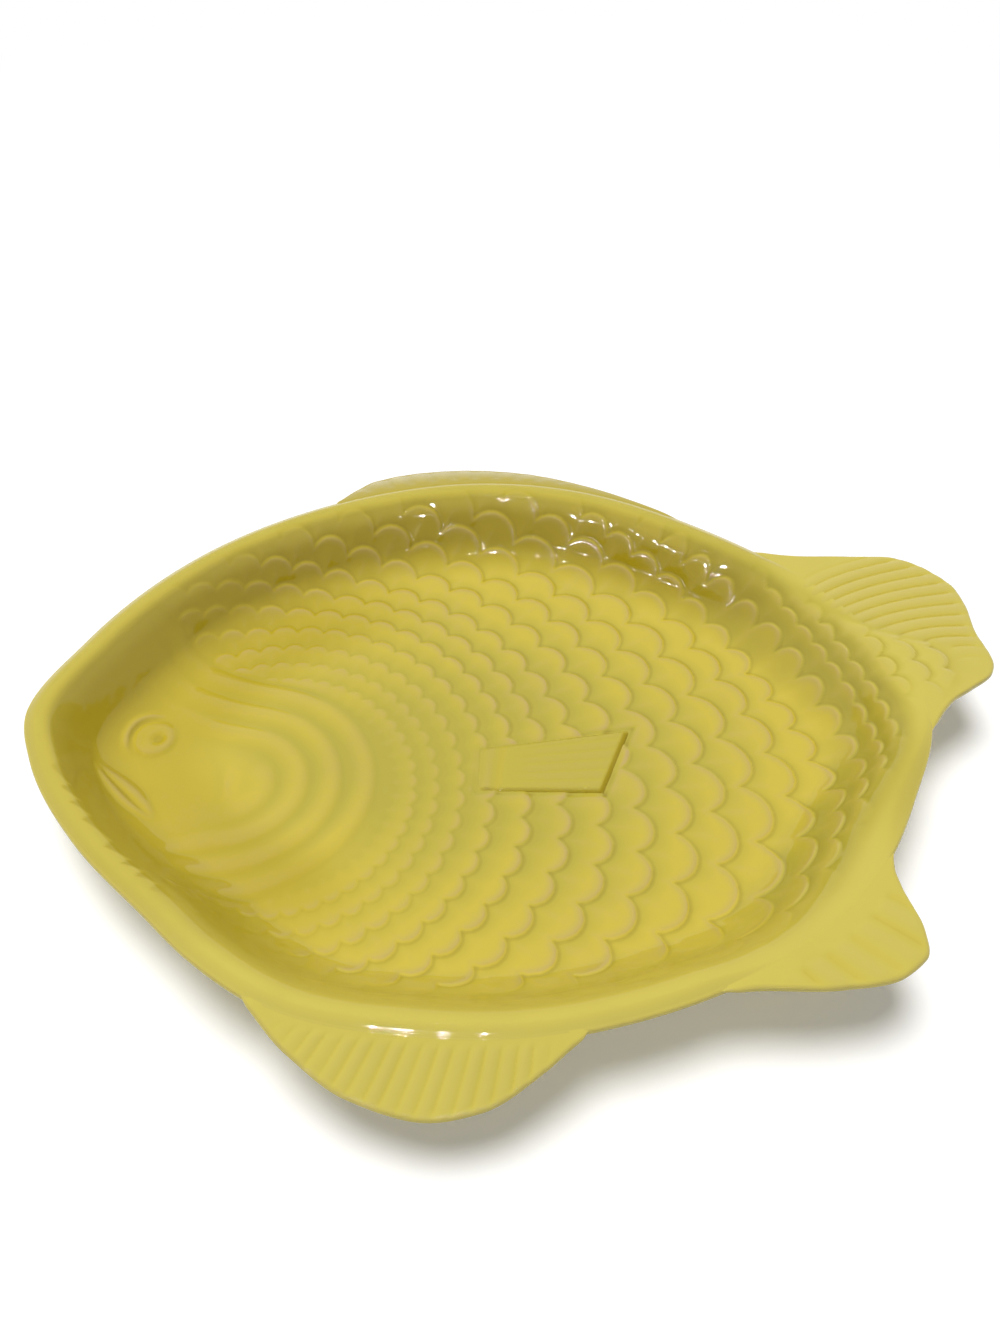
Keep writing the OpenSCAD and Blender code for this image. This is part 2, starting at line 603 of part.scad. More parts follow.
// A scale is made where it lies on the well, behind the gills and clear of the pectoral fin
gill_edge = gill_first + (gill_count - 1) * gill_pitch + gill_width / 2;
// Least distance of a scale from other relief, and how far its laid out plan may run past the top of the wall
// before it is squeezed under the rim
scale_clear = 1;
scale_overshoot = 6;
function clear_of_pectoral(p) =
    let(far = pectoral_length + pectoral_slant / 2)
    let(along = p[0] - pectoral_tail)
    let(half = (pectoral_root + (pectoral_end - pectoral_root) * along / far) / 2)
    along < -scale_clear || along > far + scale_clear || abs(p[1] + pectoral_down) > half + scale_clear;
function scale_fits(plan) =
    min([for (q = plan) gill_radius(q)]) > gill_edge + scale_clear
    && max([for (q = plan) up_the_wall(q)]) < wall_reach + scale_overshoot
    && up_the_wall(plan[0]) < wall_reach - scale_step_small
    && min([for (q = plan) clear_of_pectoral(q) ? 1 : 0]) == 1;
scale_rows = 20;
scale_plans = [for (i = [0 : scale_columns - 1], j = [-scale_rows : scale_rows])
    let(flat_plan = scale_plan(i, (j + (i % 2) / 2) * scale_pitch_angle + scale_turn_angle))
    let(plan = [for (q = flat_plan) leaned(q)])
    if (scale_fits(plan)) [for (q = plan) folded(q)]];
// Points of a scale: root and two tips on the surface, then the foot and the top of its free edge
edge_count = edge_steps + 1;
function scale_points(plan) = concat(
    [lifted(plan[0], 0), lifted(plan[1], 0), lifted(plan[2 + edge_count], 0)],
    [for (k = [2 : edge_count + 1]) lifted(plan[k], 0)],
    [for (k = [2 : edge_count + 1]) lifted(plan[k], scale_rise)]);
function scale_faces() =
    let(foot = 3)
    let(top = 3 + edge_count)
    let(end = edge_count - 1)
    concat([for (k = [0 : end - 1])
               each [[0, top + k + 1, top + k], [0, foot + k, foot + k + 1],
                     [foot + k, top + k, top + k + 1], [foot + k, top + k + 1, foot + k + 1]]],
           [[0, top, 1], [0, 1, foot], [1, top, foot],
            [0, 2, top + end], [0, foot + end, 2], [2, foot + end, top + end]]);
module scales() {
    each_size = 3 + 2 * edge_count;
    points = flat([for (plan = scale_plans) scale_points(plan)]);
    faces = flat([for (k = [0 : len(scale_plans) - 1]) shifted(scale_faces(), k * each_size)]);
    color(glaze) about_middle() polyhedron(points, faces);
}

well_floor();
well_wall();
rim();
foot_ring();
dorsal_fin();
pelvic_fin();
anal_fin();
tail_fin();
pectoral_fin();
eye();
lips();
gill_ridges();
scales();
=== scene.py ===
import math

import bpy
import numpy as np
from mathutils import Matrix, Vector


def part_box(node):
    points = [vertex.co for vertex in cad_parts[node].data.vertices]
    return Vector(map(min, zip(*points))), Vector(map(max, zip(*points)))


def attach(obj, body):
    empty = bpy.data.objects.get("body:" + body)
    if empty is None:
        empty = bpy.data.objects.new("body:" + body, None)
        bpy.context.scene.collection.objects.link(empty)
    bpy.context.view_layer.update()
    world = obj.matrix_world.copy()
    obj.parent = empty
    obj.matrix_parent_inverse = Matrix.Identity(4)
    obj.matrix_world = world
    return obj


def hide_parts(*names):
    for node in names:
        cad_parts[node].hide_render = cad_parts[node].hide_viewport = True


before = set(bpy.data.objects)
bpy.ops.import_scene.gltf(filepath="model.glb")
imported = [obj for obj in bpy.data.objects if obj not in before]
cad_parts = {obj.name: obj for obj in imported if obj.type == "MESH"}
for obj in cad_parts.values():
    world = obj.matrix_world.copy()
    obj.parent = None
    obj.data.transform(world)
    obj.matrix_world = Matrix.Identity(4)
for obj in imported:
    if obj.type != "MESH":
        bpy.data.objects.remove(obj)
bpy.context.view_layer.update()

# Sizes of the clay in millimetres, as the solids have them
MM = 0.001
RIM_WIDTH = 10.5
RIM_CROWN = 3.0
RIM_THICKNESS = 5.2
EDGE_ROUND = 1.2
REAR_FLANGE = 5.0
FLANGE_ANGLE = -28.0
FLANGE_HALF_ANGLE = 24.0
CREST_SHARE = 0.45
CLAY = 5.0
WALL_ANGLE = math.radians(62.0)
FLOOR_FILLET = 18.0
FLOOR_DISH = 1.2
FOOT_HEIGHT = 5.0
FOOT_WIDTH = 6.0
FOOT_SETBACK = 2.0
FIN_EDGE = 3.6

# Outline of the rim: angle about the middle of the dish, and radius
RIM_SHAPE = [(-166, 145), (-152, 133), (-140, 129), (-125, 126), (-105, 120), (-80, 121), (-62, 127),
             (-40, 141), (-20, 152), (-8, 162), (0, 163), (12, 156), (32, 144), (45, 138.5), (60, 136.5),
             (85, 135.5), (105, 136), (120, 139.5), (140, 148), (160, 158), (172, 166), (180, 160)]
# Outlines of the fins: angle, and share of the fin's reach
DORSAL_SHAPE = [(42, 0), (53, 0.12), (65, 0.36), (77, 0.72), (88, 0.93), (97, 1), (103, 0.88), (107, 0.5),
                (113, 0)]
PELVIC_SHAPE = [(-132, 0), (-121, 0.43), (-112, 0.83), (-103, 1), (-96, 0.86), (-88, 0.42), (-83, 0.12),
                (-80, 0)]
ANAL_SHAPE = [(-64, 0), (-59, 0.1), (-50, 0.63), (-44, 0.96), (-41, 0.99), (-38, 0.78), (-34, 0.28),
              (-31, 0.05), (-28, 0)]
TAIL_SHAPE = [(-10, 0), (-7, 0.06), (-4, 0.2), (-2, 0.4), (0, 0.62), (2, 0.71), (6, 0.77), (11, 0.94),
              (14, 1), (17, 0.97), (20, 0.86), (23, 0.54), (27, 0.2), (30, 0.07), (33, 0)]


# Curves and outlines
def ease(u):
    v = np.clip(u, 0, 1)
    return v * v * (3 - 2 * v)


def cubic_curve(knots, slopes, t):
    """Smooth curve through knots with given slopes, at the values t."""
    a, r = np.array(knots, float).T
    i = np.clip(np.searchsorted(a, t, side="right") - 1, 0, len(a) - 2)
    w = a[i + 1] - a[i]
    u = np.clip((t - a[i]) / w, 0, 1)
    return ((1 + 2 * u) * (1 - u) ** 2 * r[i] + u * (1 - u) ** 2 * w * slopes[i]
            + u * u * (3 - 2 * u) * r[i + 1] + u * u * (u - 1) * w * slopes[i + 1])


def open_curve(knots, t):
    """Curve through an open list that never overshoots its knots."""
    a, r = np.array(knots, float).T
    step = np.diff(r) / np.diff(a)
    before, after = step[:-1], step[1:]
    product = before * after
    total = np.where(product > 0, before + after, 1)
    slopes = np.zeros(len(a))
    slopes[1:-1] = np.where(product > 0, 2 * product / total, 0)
    return cubic_curve(knots, slopes, np.asarray(t, float))


def loop_curve(knots, t):
    """Closed curve through a list of angles and radii."""
    loop = [(a + turn, r) for turn in (-360, 0, 360) for a, r in knots]
    a, r = np.array(loop, float).T
    slopes = np.zeros(len(a))
    slopes[1:-1] = (r[2:] - r[:-2]) / (a[2:] - a[:-2])
    return cubic_curve(loop, slopes, (np.asarray(t, float) + 180) % 360 - 180)


def unit(t):
    return np.stack([np.cos(np.radians(t)), np.sin(np.radians(t))], -1)


# The frame gives the outline's stretch, its place and the height of the rim
fine_turn = np.arange(-180, 180, 0.1)
raw_outline = loop_curve(RIM_SHAPE, fine_turn)[:, None] * unit(fine_turn)
rim_low, rim_high = (np.array(corner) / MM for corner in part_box("rim"))
STRETCH = (rim_high - rim_low)[:2] / (raw_outline.max(0) - raw_outline.min(0))
MIDDLE = raw_outline.min(0) * STRETCH - rim_low[:2]
NOSE_X = raw_outline.min(0)[0] * STRETCH[0]
RIM_HEIGHT = rim_high[2]
INNER_Z = RIM_HEIGHT - RIM_CROWN
FLOOR_Z = FOOT_HEIGHT + CLAY + FLOOR_DISH
UNDER_Z = RIM_HEIGHT - RIM_THICKNESS


def rim_edge(t):
    return loop_curve(RIM_SHAPE, t)[..., None] * unit(t) * STRETCH


def edge_radius(t):
    return np.linalg.norm(rim_edge(t), axis=-1)


def outward(t):
    edge = rim_edge(t)
    return edge / np.linalg.norm(edge, axis=-1, keepdims=True)


def angle_of(p):
    return np.degrees(np.arctan2(p[..., 1] / STRETCH[1], p[..., 0] / STRETCH[0]))


def rim_width_at(t):
    away = np.abs((np.asarray(t, float) - FLANGE_ANGLE + 540) % 360 - 180)
    return RIM_WIDTH + REAR_FLANGE * ease(1 - away / FLANGE_HALF_ANGLE)


def within(t, low, high, fade):
    """1 between two angles, 0 outside them, with a soft change."""
    return ease((t - low) / fade + 0.5) * ease((high - t) / fade + 0.5)


# Section of the well: length up the wall from the floor's edge, run inside the rim's inner edge, height
FILLET_LENGTH = FLOOR_FILLET * WALL_ANGLE
FILLET_RISE = FLOOR_FILLET * (1 - math.cos(WALL_ANGLE))
STRAIGHT_LENGTH = (INNER_Z - FLOOR_Z - FILLET_RISE) / math.sin(WALL_ANGLE)
WALL_REACH = FILLET_LENGTH + STRAIGHT_LENGTH
STRAIGHT_RUN = STRAIGHT_LENGTH * math.cos(WALL_ANGLE)
WELL_RUN = STRAIGHT_RUN + FLOOR_FILLET * math.sin(WALL_ANGLE)


def wall_section(s):
    """Run, height and lean of the wall at length s from the floor's edge."""
    lean = np.clip(s, 0, FILLET_LENGTH) / FLOOR_FILLET
    beyond = np.clip(s - FILLET_LENGTH, 0, None)
    run = WELL_RUN - FLOOR_FILLET * np.sin(lean) - beyond * math.cos(WALL_ANGLE)
    z = FLOOR_Z + FLOOR_FILLET * (1 - np.cos(lean)) + beyond * math.sin(WALL_ANGLE)
    return run, z, lean


def floor_radius(t):
    return edge_radius(t) - rim_width_at(t) - WELL_RUN


def laid_flat(p):
    """Where a plan point of the well lies once the wall is folded down about the floor's edge."""
    p = np.asarray(p, float)
    t = angle_of(p)
    reach = np.linalg.norm(p, axis=-1)
    lengths = np.linspace(0, WALL_REACH, 200)
    runs = WELL_RUN - wall_section(lengths)[0]
    beyond = reach - floor_radius(t)
    s = np.where(beyond > 0, np.interp(beyond, runs, lengths), beyond)
    return p / reach * (floor_radius(t) + s)


# Relief of the well, drawn on its laid out plan and softened as glaze softens it
RELIEF_STEP = 0.3
RELIEF_LOW = np.array([-186.0, -160.0])
RELIEF_HIGH = np.array([228.0, 160.0])
SCALE_SETBACK, SCALE_DOWN = 84.5, 3.5
SCALE_FIRST, SCALE_COLUMNS = 55.0, 18
SCALE_PITCH, SCALE_TURN, SCALE_BULGE, SCALE_RISE = 7.8, 1.5, 0.52, 1.15
GILL_SETBACK, GILL_INNER, GILL_PITCH, GILL_COUNT, GILL_RISE = 67.5, 20.0, 12.5, 3, 1.2
BROW_ANGLE, BROW_SHARE, THROAT_ANGLE, THROAT_SHARE = 68.0, 0.87, -87.0, 0.88
# How the columns of scales lean away from the belly: angle about their centre, and share of the radius
COLUMN_LEAN = [(-180, 0.88), (-100, 0.89), (-60, 0.93), (-40, 0.975), (-20, 1), (-10, 0.982), (0, 0.952),
               (10, 0.925), (20, 0.912), (45, 0.895), (110, 0.885), (180, 0.88)]
# Step between columns by the gills, its gain on the body and its loss at the tail
COLUMN_STEP, COLUMN_GAIN, COLUMN_LOSS = 8.5, 6.5, 4.5
# Degrees by which scales narrow towards the tail, the radius where that starts and the length it takes
TAIL_SHRINKS = [(3.4, 188, 30), (1.8, 222, 14)]
# Length of a gill's arm before it bends up towards the back, and how quickly it bends
ARM_STRAIGHT, ARM_BEND = 8.0, 0.006
EYE_SETBACK, EYE_UP, EYE_RADIUS = 39.5, 25.0, 8.6
PUPIL_BACK, PUPIL_DOWN, PUPIL_RADIUS, PUPIL_DEPTH = 1.6, 0.6, 3.6, 1.3
BROW_RISE, EYE_TRENCH = 1.5, 0.3
MOUTH_FROM, MOUTH_TO = (-143.5, 10.5), (-121.5, -13.0)
# Each lip's place across the mouth, half width and rise
LIPS = [(2.9, 3.0, 1.7), (-2.3, 2.2, 1.5)]
GLAZE_SOFTENING = 0.45
HEAD_SOFTENING = 0.7
HEAD_CREST = 0.5
CREST_SPREAD, CREST_FULL = 1.7, 0.35
ROOT_SPREAD, LOW_FULL = 5.0, 0.5
# Where the scales give way to the rays of the tail: angle, and distance from the middle of the dish
TAIL_SCALE_END = [(-12, 150), (-4, 168), (1, 178), (4, 180), (6.5, 168), (9, 158), (12, 151), (16, 146),
                  (22, 142), (34, 138)]

grid_x = np.arange(RELIEF_LOW[0], RELIEF_HIGH[0], RELIEF_STEP)
grid_y = np.arange(RELIEF_LOW[1], RELIEF_HIGH[1], RELIEF_STEP)
plan_x, plan_y = np.meshgrid(grid_x, grid_y)
plan = np.stack([plan_x, plan_y], -1)
plan_turn = angle_of(plan)
plan_reach = np.hypot(plan_x, plan_y)
up_wall = plan_reach - floor_radius(plan_turn)


def blurred(field, sigma):
    """Gaussian softening of a relief field, sigma in millimetres."""
    cells = sigma / RELIEF_STEP
    half = int(math.ceil(3 * cells))
    weights = np.exp(-0.5 * (np.arange(-half, half + 1) / cells) ** 2)
    weights /= weights.sum()
    for axis in (0, 1):
        field = sum(w * np.roll(field, k - half, axis) for k, w in enumerate(weights))
    return field


def column_radii():
    """Columns stand close by the gills, far apart on the body and close again at the tail."""
    radii = [SCALE_FIRST - COLUMN_STEP, SCALE_FIRST]
    for i in range(SCALE_COLUMNS):
        step = COLUMN_STEP + COLUMN_GAIN * ease(i / 4) - COLUMN_LOSS * ease((i - 9) / 4)
        radii.append(radii[-1] + step)
    return radii


def scale_relief():
    """Each scale rises from under the ones before it to its round free edge."""
    from_x = plan_x - (NOSE_X + SCALE_SETBACK)
    from_y = plan_y + SCALE_DOWN
    turn = np.degrees(np.arctan2(from_y, from_x))
    straight = np.hypot(from_x, from_y)
    lean = ease((straight - 72) / 45) * (1 - 0.5 * ease((straight - 195) / 30))
    radius = straight / (1 - lean * (1 - open_curve(COLUMN_LEAN, turn)))
    height = np.zeros_like(radius)
    before = None
    for i, column in enumerate(column_radii()):
        pitch = SCALE_PITCH - sum(less * ease((column - start) / over) for less, start, over in TAIL_SHRINKS)
        width = column * math.radians(pitch)
        bulge = SCALE_BULGE * width
        shift = SCALE_TURN + pitch * ((i % 2) / 2)
        aside = (turn - shift + pitch / 2) % pitch - pitch / 2
        lateral = column * np.radians(aside)
        edge = column - bulge + np.sqrt(np.maximum(bulge ** 2 - lateral ** 2, 0))
        if before is not None:
            here = (radius > before) & (radius <= edge)
            along = (radius - before) / np.maximum(edge - before, 0.5)
            dome = 1 - 0.22 * (2 * lateral / width) ** 2
            height = np.where(here, (0.1 + 0.9 * np.clip(along, 0, 1) ** 0.85) * dome, height)
        before = edge if before is None else np.maximum(before, edge)
    return height * SCALE_RISE * (0.6 + 0.4 * ease((radius - 60) / 40))


def gill_place():
    """Distance from the cheek, with the arms laid straight towards brow and throat, and the turn about it."""
    from_x = plan_x - (NOSE_X + GILL_SETBACK)
    from_y = plan_y / np.where(plan_y < 0, THROAT_SHARE, BROW_SHARE)
    turn = np.degrees(np.arctan2(from_y, from_x))
    past = np.clip(np.maximum(turn - BROW_ANGLE, THROAT_ANGLE - turn), 0, 90)
    reach = np.hypot(from_x, from_y)
    along = np.clip(reach * np.sin(np.radians(past)) - ARM_STRAIGHT, 0, 45)
    bend = np.where(turn > 0, ARM_BEND * along ** 2, 0)
    return reach * np.cos(np.radians(past)) - bend, turn


def gill_relief(distance, turn):
    wave = (distance - GILL_INNER) / GILL_PITCH
    ridge = np.sin(np.pi * (wave % 1) ** 1.5)
    cheek_ridge = 0.6 * ease((70 - np.abs(turn + 20)) / 40)
    ridge *= np.where((wave > -1) & (wave < 0), cheek_ridge, (wave > 0) & (wave < GILL_COUNT))
    cheek = np.clip(1 - (distance / GILL_INNER) ** 2, 0, None) ** 1.3
    cheek *= ease((110 - np.abs(turn)) / 50)
    throat = ease(-turn / 60)
    arms = within(turn, -118, 106, 30) * (1 - ease((up_wall - 16 + 12 * throat) / (14 - 4 * throat)))
    return GILL_RISE * (ridge * arms + 0.8 * cheek)


def eye_relief():
    """Ball with its pupil, in a ring that stands up on the side of the brow."""
    centre = laid_flat((NOSE_X + EYE_SETBACK, EYE_UP))
    away = plan - centre
    distance = np.hypot(away[..., 0], away[..., 1])
    turn = np.degrees(np.arctan2(away[..., 1], away[..., 0]))
    ball = ease((EYE_RADIUS - distance) / 1.3) * (1.3 - 0.3 * (distance / EYE_RADIUS) ** 2)
    from_pupil = np.hypot(away[..., 0] - PUPIL_BACK, away[..., 1] + PUPIL_DOWN)
    pupil = ease((PUPIL_RADIUS - from_pupil) / 2.0)
    trench = np.exp(-((distance - EYE_RADIUS - 0.2) / 0.8) ** 2)
    side = (turn - 140 + 540) % 360 - 180
    ring = np.exp(-((distance - EYE_RADIUS - 1.9) / 1.2) ** 2) * ease((86 - np.abs(side)) / 50)
    return ball - PUPIL_DEPTH * pupil + BROW_RISE * ring - EYE_TRENCH * trench


def lip_relief():
    """Two lips with the mouth's groove between them."""
    start = laid_flat(MOUTH_FROM)
    end = laid_flat(MOUTH_TO)
    length = np.linalg.norm(end - start)
    ahead = (end - start) / length
    side = np.array([-ahead[1], ahead[0]])
    along = (plan - start) @ ahead / length
    across = (plan - start) @ side
    bow = np.sin(np.pi * np.clip(along, 0, 1)) ** 0.65
    lips = 0
    for middle, half, rise in LIPS:
        place = (across - middle * bow) / np.maximum(half * bow, 0.05)
        lips = lips + rise * np.clip(1 - place ** 2, 0, None) ** 0.8 * bow
    return lips


# Pectoral fan on the floor
PECTORAL_ROOT_LOW, PECTORAL_ROOT_HIGH = np.array([(-3.5, -12.5), (-0.5, 7.0)])
PECTORAL_END_LOW, PECTORAL_END_HIGH = np.array([(43.0, -19.5), (58.5, 8.5)])
PECTORAL_RISE = 2.2


def pectoral_place(along, across):
    """Plan point of the fan, along from its root and across from its lower edge."""
    along = np.asarray(along)[..., None]
    across = np.asarray(across)[..., None]
    low = PECTORAL_ROOT_LOW + (PECTORAL_END_LOW - PECTORAL_ROOT_LOW) * along
    high = PECTORAL_ROOT_HIGH + (PECTORAL_END_HIGH - PECTORAL_ROOT_HIGH) * along
    return low + (high - low) * across


def pectoral_depth():
    """How far a plan point lies inside the edge of the pectoral fan."""
    corners = [PECTORAL_ROOT_LOW, PECTORAL_END_LOW, PECTORAL_END_HIGH, PECTORAL_ROOT_HIGH]
    depth = np.full_like(plan_x, 1e3)
    for (ax, ay), (bx, by) in zip(corners, corners[1:] + corners[:1]):
        length = math.hypot(bx - ax, by - ay)
        depth = np.minimum(depth, ((bx - ax) * (plan_y - ay) - (by - ay) * (plan_x - ax)) / length)
    return depth


def pectoral_cover():
    """1 on the floor under the pectoral fan, where no scale shows."""
    return ease((pectoral_depth() + 0.3) / 0.8)


def pectoral_trench():
    """Fine groove round the fan, deep at its slanted end and along its lower edge."""
    beyond_end = ease((plan_x - PECTORAL_END_LOW[0] + 6) / 8)
    below = ease((-4 - plan_y) / 8)
    depth = 0.2 + 0.55 * np.maximum(beyond_end, 0.7 * below)
    return depth * np.exp(-((pectoral_depth() + 0.9) / 0.8) ** 2)


def draw_relief():
    distance, turn = gill_place()
    gill_edge = GILL_INNER + GILL_COUNT * GILL_PITCH
    behind = ease((distance - gill_edge - 0.5) / 3)
    tail_end = open_curve(TAIL_SCALE_END, np.clip(plan_turn, -12, 34))
    over_rim = up_wall - WALL_REACH
    plan_tail = edge_radius(plan_turn) - rim_width_at(plan_turn) + over_rim
    tail = within(plan_turn, -2, 22, 8) * (1 - ease((plan_tail - tail_end) / 5 + 0.5))
    inner = 1 - ease((over_rim + 6) / 11)
    cover = np.maximum(inner, (0.85 + 0.15 * inner) * tail)
    smooth_wall = 0.55 * ease((plan_turn - 118) / 22) * ease((up_wall - 6) / 14)
    near_wall = 0.95 * within(plan_turn, -155, -45, 30) * ease((up_wall - 5) / 10)
    smooth = np.maximum(smooth_wall, near_wall)
    scales = scale_relief() * behind * cover * (1 - pectoral_cover()) * (1 - smooth)
    head = gill_relief(distance, turn) + eye_relief() + lip_relief()
    return blurred(scales - pectoral_trench(), GLAZE_SOFTENING), blurred(head, HEAD_SOFTENING)


scale_field, head_field = draw_relief()
relief = scale_field + head_field
tinted = scale_field + HEAD_CREST * head_field
crest = (tinted - blurred(tinted, CREST_SPREAD)) / CREST_FULL
low_lying = np.clip((blurred(tinted, ROOT_SPREAD) - tinted) / LOW_FULL, -1, 1)


def sampled(field, q):
    """Value of a relief field at laid out points, between its cells."""
    place = (q - RELIEF_LOW) / RELIEF_STEP
    cell = np.clip(place.astype(int), 0, np.array([len(grid_x), len(grid_y)]) - 2)
    u, v = np.moveaxis(np.clip(place - cell, 0, 1), -1, 0)
    i, j = np.moveaxis(cell, -1, 0)
    return ((1 - v) * ((1 - u) * field[j, i] + u * field[j, i + 1])
            + v * ((1 - u) * field[j + 1, i] + u * field[j + 1, i + 1]))


# Meshes
def grid_faces(rows, cols, first=0, wrap_rows=False, wrap_cols=False):
    """Four sided faces of a grid of points, row after row."""
    r = np.arange(rows if wrap_rows else rows - 1)
    c = np.arange(cols if wrap_cols else cols - 1)
    r, c = np.meshgrid(r, c, indexing="ij")
    below, beside = (r + 1) % rows, (c + 1) % cols
    return first + np.stack([r * cols + c, r * cols + beside, below * cols + beside, below * cols + c],
                            -1).reshape(-1, 4)


def ring_faces(rows, cols, **wrap):
    """Faces of a grid whose rows run outward and whose columns run against the clock, turned to face up."""
    return grid_faces(rows, cols, **wrap)[:, ::-1]


def ring_fan(ring, centre):
    following = np.roll(ring, -1)
    return np.stack([ring, following, np.full(len(ring), centre)], -1)


def placed(points):
    """Points in millimetres about the middle of the dish, in the frame's metres."""
    return (points - np.array([MIDDLE[0], MIDDLE[1], 0])) * MM


def linked(name, data):
    """New object of the scene."""
    obj = bpy.data.objects.new(name, data)
    bpy.context.scene.collection.objects.link(obj)
    return obj


def piece(name, points, faces, attributes, material):
    """Mesh object from rows of points about the middle of the dish and rows of values on them."""
    mesh = bpy.data.meshes.new(name)
    place = placed(np.concatenate([np.reshape(row, (-1, 3)) for row in points]))
    mesh.from_pydata(place.tolist(), [], [f for part in faces for f in np.asarray(part).tolist()])
    for key, rows in attributes.items():
        layer = mesh.attributes.new(key, "FLOAT", "POINT")
        layer.data.foreach_set("value", np.concatenate([np.ravel(row) for row in rows]).astype(np.float32))
    mesh.polygons.foreach_set("use_smooth", np.ones(len(mesh.polygons), bool))
    mesh.materials.append(material)
    mesh.update()
    return linked(name, mesh)


def lifted_z(plan_points, z):
    return np.concatenate([plan_points, z[..., None]], -1)


def face_sums(obj, faces, wanted):
    """Sum of the normals of some four sided faces at the wanted points of an object."""
    points = np.empty(len(obj.data.vertices) * 3)
    obj.data.vertices.foreach_get("co", points)
    points = points.reshape(-1, 3)
    normal = np.cross(points[faces[:, 2]] - points[faces[:, 0]], points[faces[:, 3]] - points[faces[:, 1]])
    sums = np.zeros_like(points)
    for corner in range(4):
        np.add.at(sums, faces[:, corner], normal)
    return sums[wanted]


def join_shading(seams):
    """Gives both sides of each seam one normal, so that a seam of two skins can't be seen."""
    normals = {}
    for sides in seams:
        total = sum(face_sums(*side) for side in sides)
        total /= np.linalg.norm(total, axis=1, keepdims=True)
        for obj, faces, wanted in sides:
            normals.setdefault(obj.name, np.zeros((len(obj.data.vertices), 3)))[wanted] = total
    for name, values in normals.items():
        bpy.data.objects[name].data.normals_split_custom_set_from_vertices(values.tolist())


# Shader nodes
class Wire:
    """An output socket of a node tree. Arithmetic on it adds Math nodes."""

    def __init__(self, tree, socket):
        self.tree = tree
        self.socket = socket

    def node(self, kind, settings=None, values=None, output=0):
        """Adds a node: its settings first, then values or links of its sockets, by name or number."""
        made = self.tree.nodes.new(kind)
        for key, value in (settings or {}).items():
            setattr(made, key, value)
        for key, value in (values or {}).items():
            if isinstance(value, Wire):
                self.tree.links.new(value.socket, made.inputs[key])
            else:
                made.inputs[key].default_value = value
        return Wire(self.tree, made.outputs[output]) if len(made.outputs) else made

    def math(self, operation, *values):
        return self.node("ShaderNodeMath", {"operation": operation}, dict(enumerate(values)))

    def __add__(self, other):
        return self.math("ADD", self, other)

    __radd__ = __add__

    def __sub__(self, other):
        return self.math("SUBTRACT", self, other)

    def __rsub__(self, other):
        return self.math("SUBTRACT", other, self)

    def __mul__(self, other):
        return self.math("MULTIPLY", self, other)

    __rmul__ = __mul__

    def clamped(self):
        return self.node("ShaderNodeClamp", None, {0: self})


def srgb(red, green, blue):
    """A colour given in display values of 0 to 255, as a linear one."""
    def linear(c):
        c /= 255
        return c / 12.92 if c <= 0.04045 else ((c + 0.055) / 1.055) ** 2.4
    return (linear(red), linear(green), linear(blue), 1.0)


def new_material(name):
    material = bpy.data.materials.new(name)
    material.use_nodes = True
    tree = material.node_tree
    tree.nodes.clear()
    return material, Wire(tree, None)


def mix_color(wire, share, first, second):
    return wire.node("ShaderNodeMix", {"data_type": "RGBA"}, {0: share, 6: first, 7: second}, output=2)


def noise(wire, place, scale, detail):
    return wire.node("ShaderNodeTexNoise", None, {"Vector": place, "Scale": scale, "Detail": detail})


def painted(wire, name):
    """Value stored on the points of a piece."""
    return wire.node("ShaderNodeAttribute", {"attribute_name": name}, output="Fac")


# Colours of the glaze and of its painted shade, and the scales of its clouds, swell, grain and pinholes
FULL = srgb(205, 186, 66)
DEEP = srgb(203, 181, 44)
THIN = srgb(192, 168, 106)
PALE = srgb(209, 193, 84)
THIN_PALE = srgb(206, 188, 100)
PINHOLE = srgb(92, 76, 30)
WALL_SHADE = srgb(174, 154, 22)
ROOT_SHADE = srgb(184, 171, 64)
GROOVE_SHADE = srgb(152, 131, 40)
CLOUD_SCALE, SWELL_SCALE, GRAIN_SCALE, PINHOLE_SCALE = 38.0, 150.0, 420.0, 62.0
PINHOLE_CHANCE, PINHOLE_SIZE = 0.07, 0.028


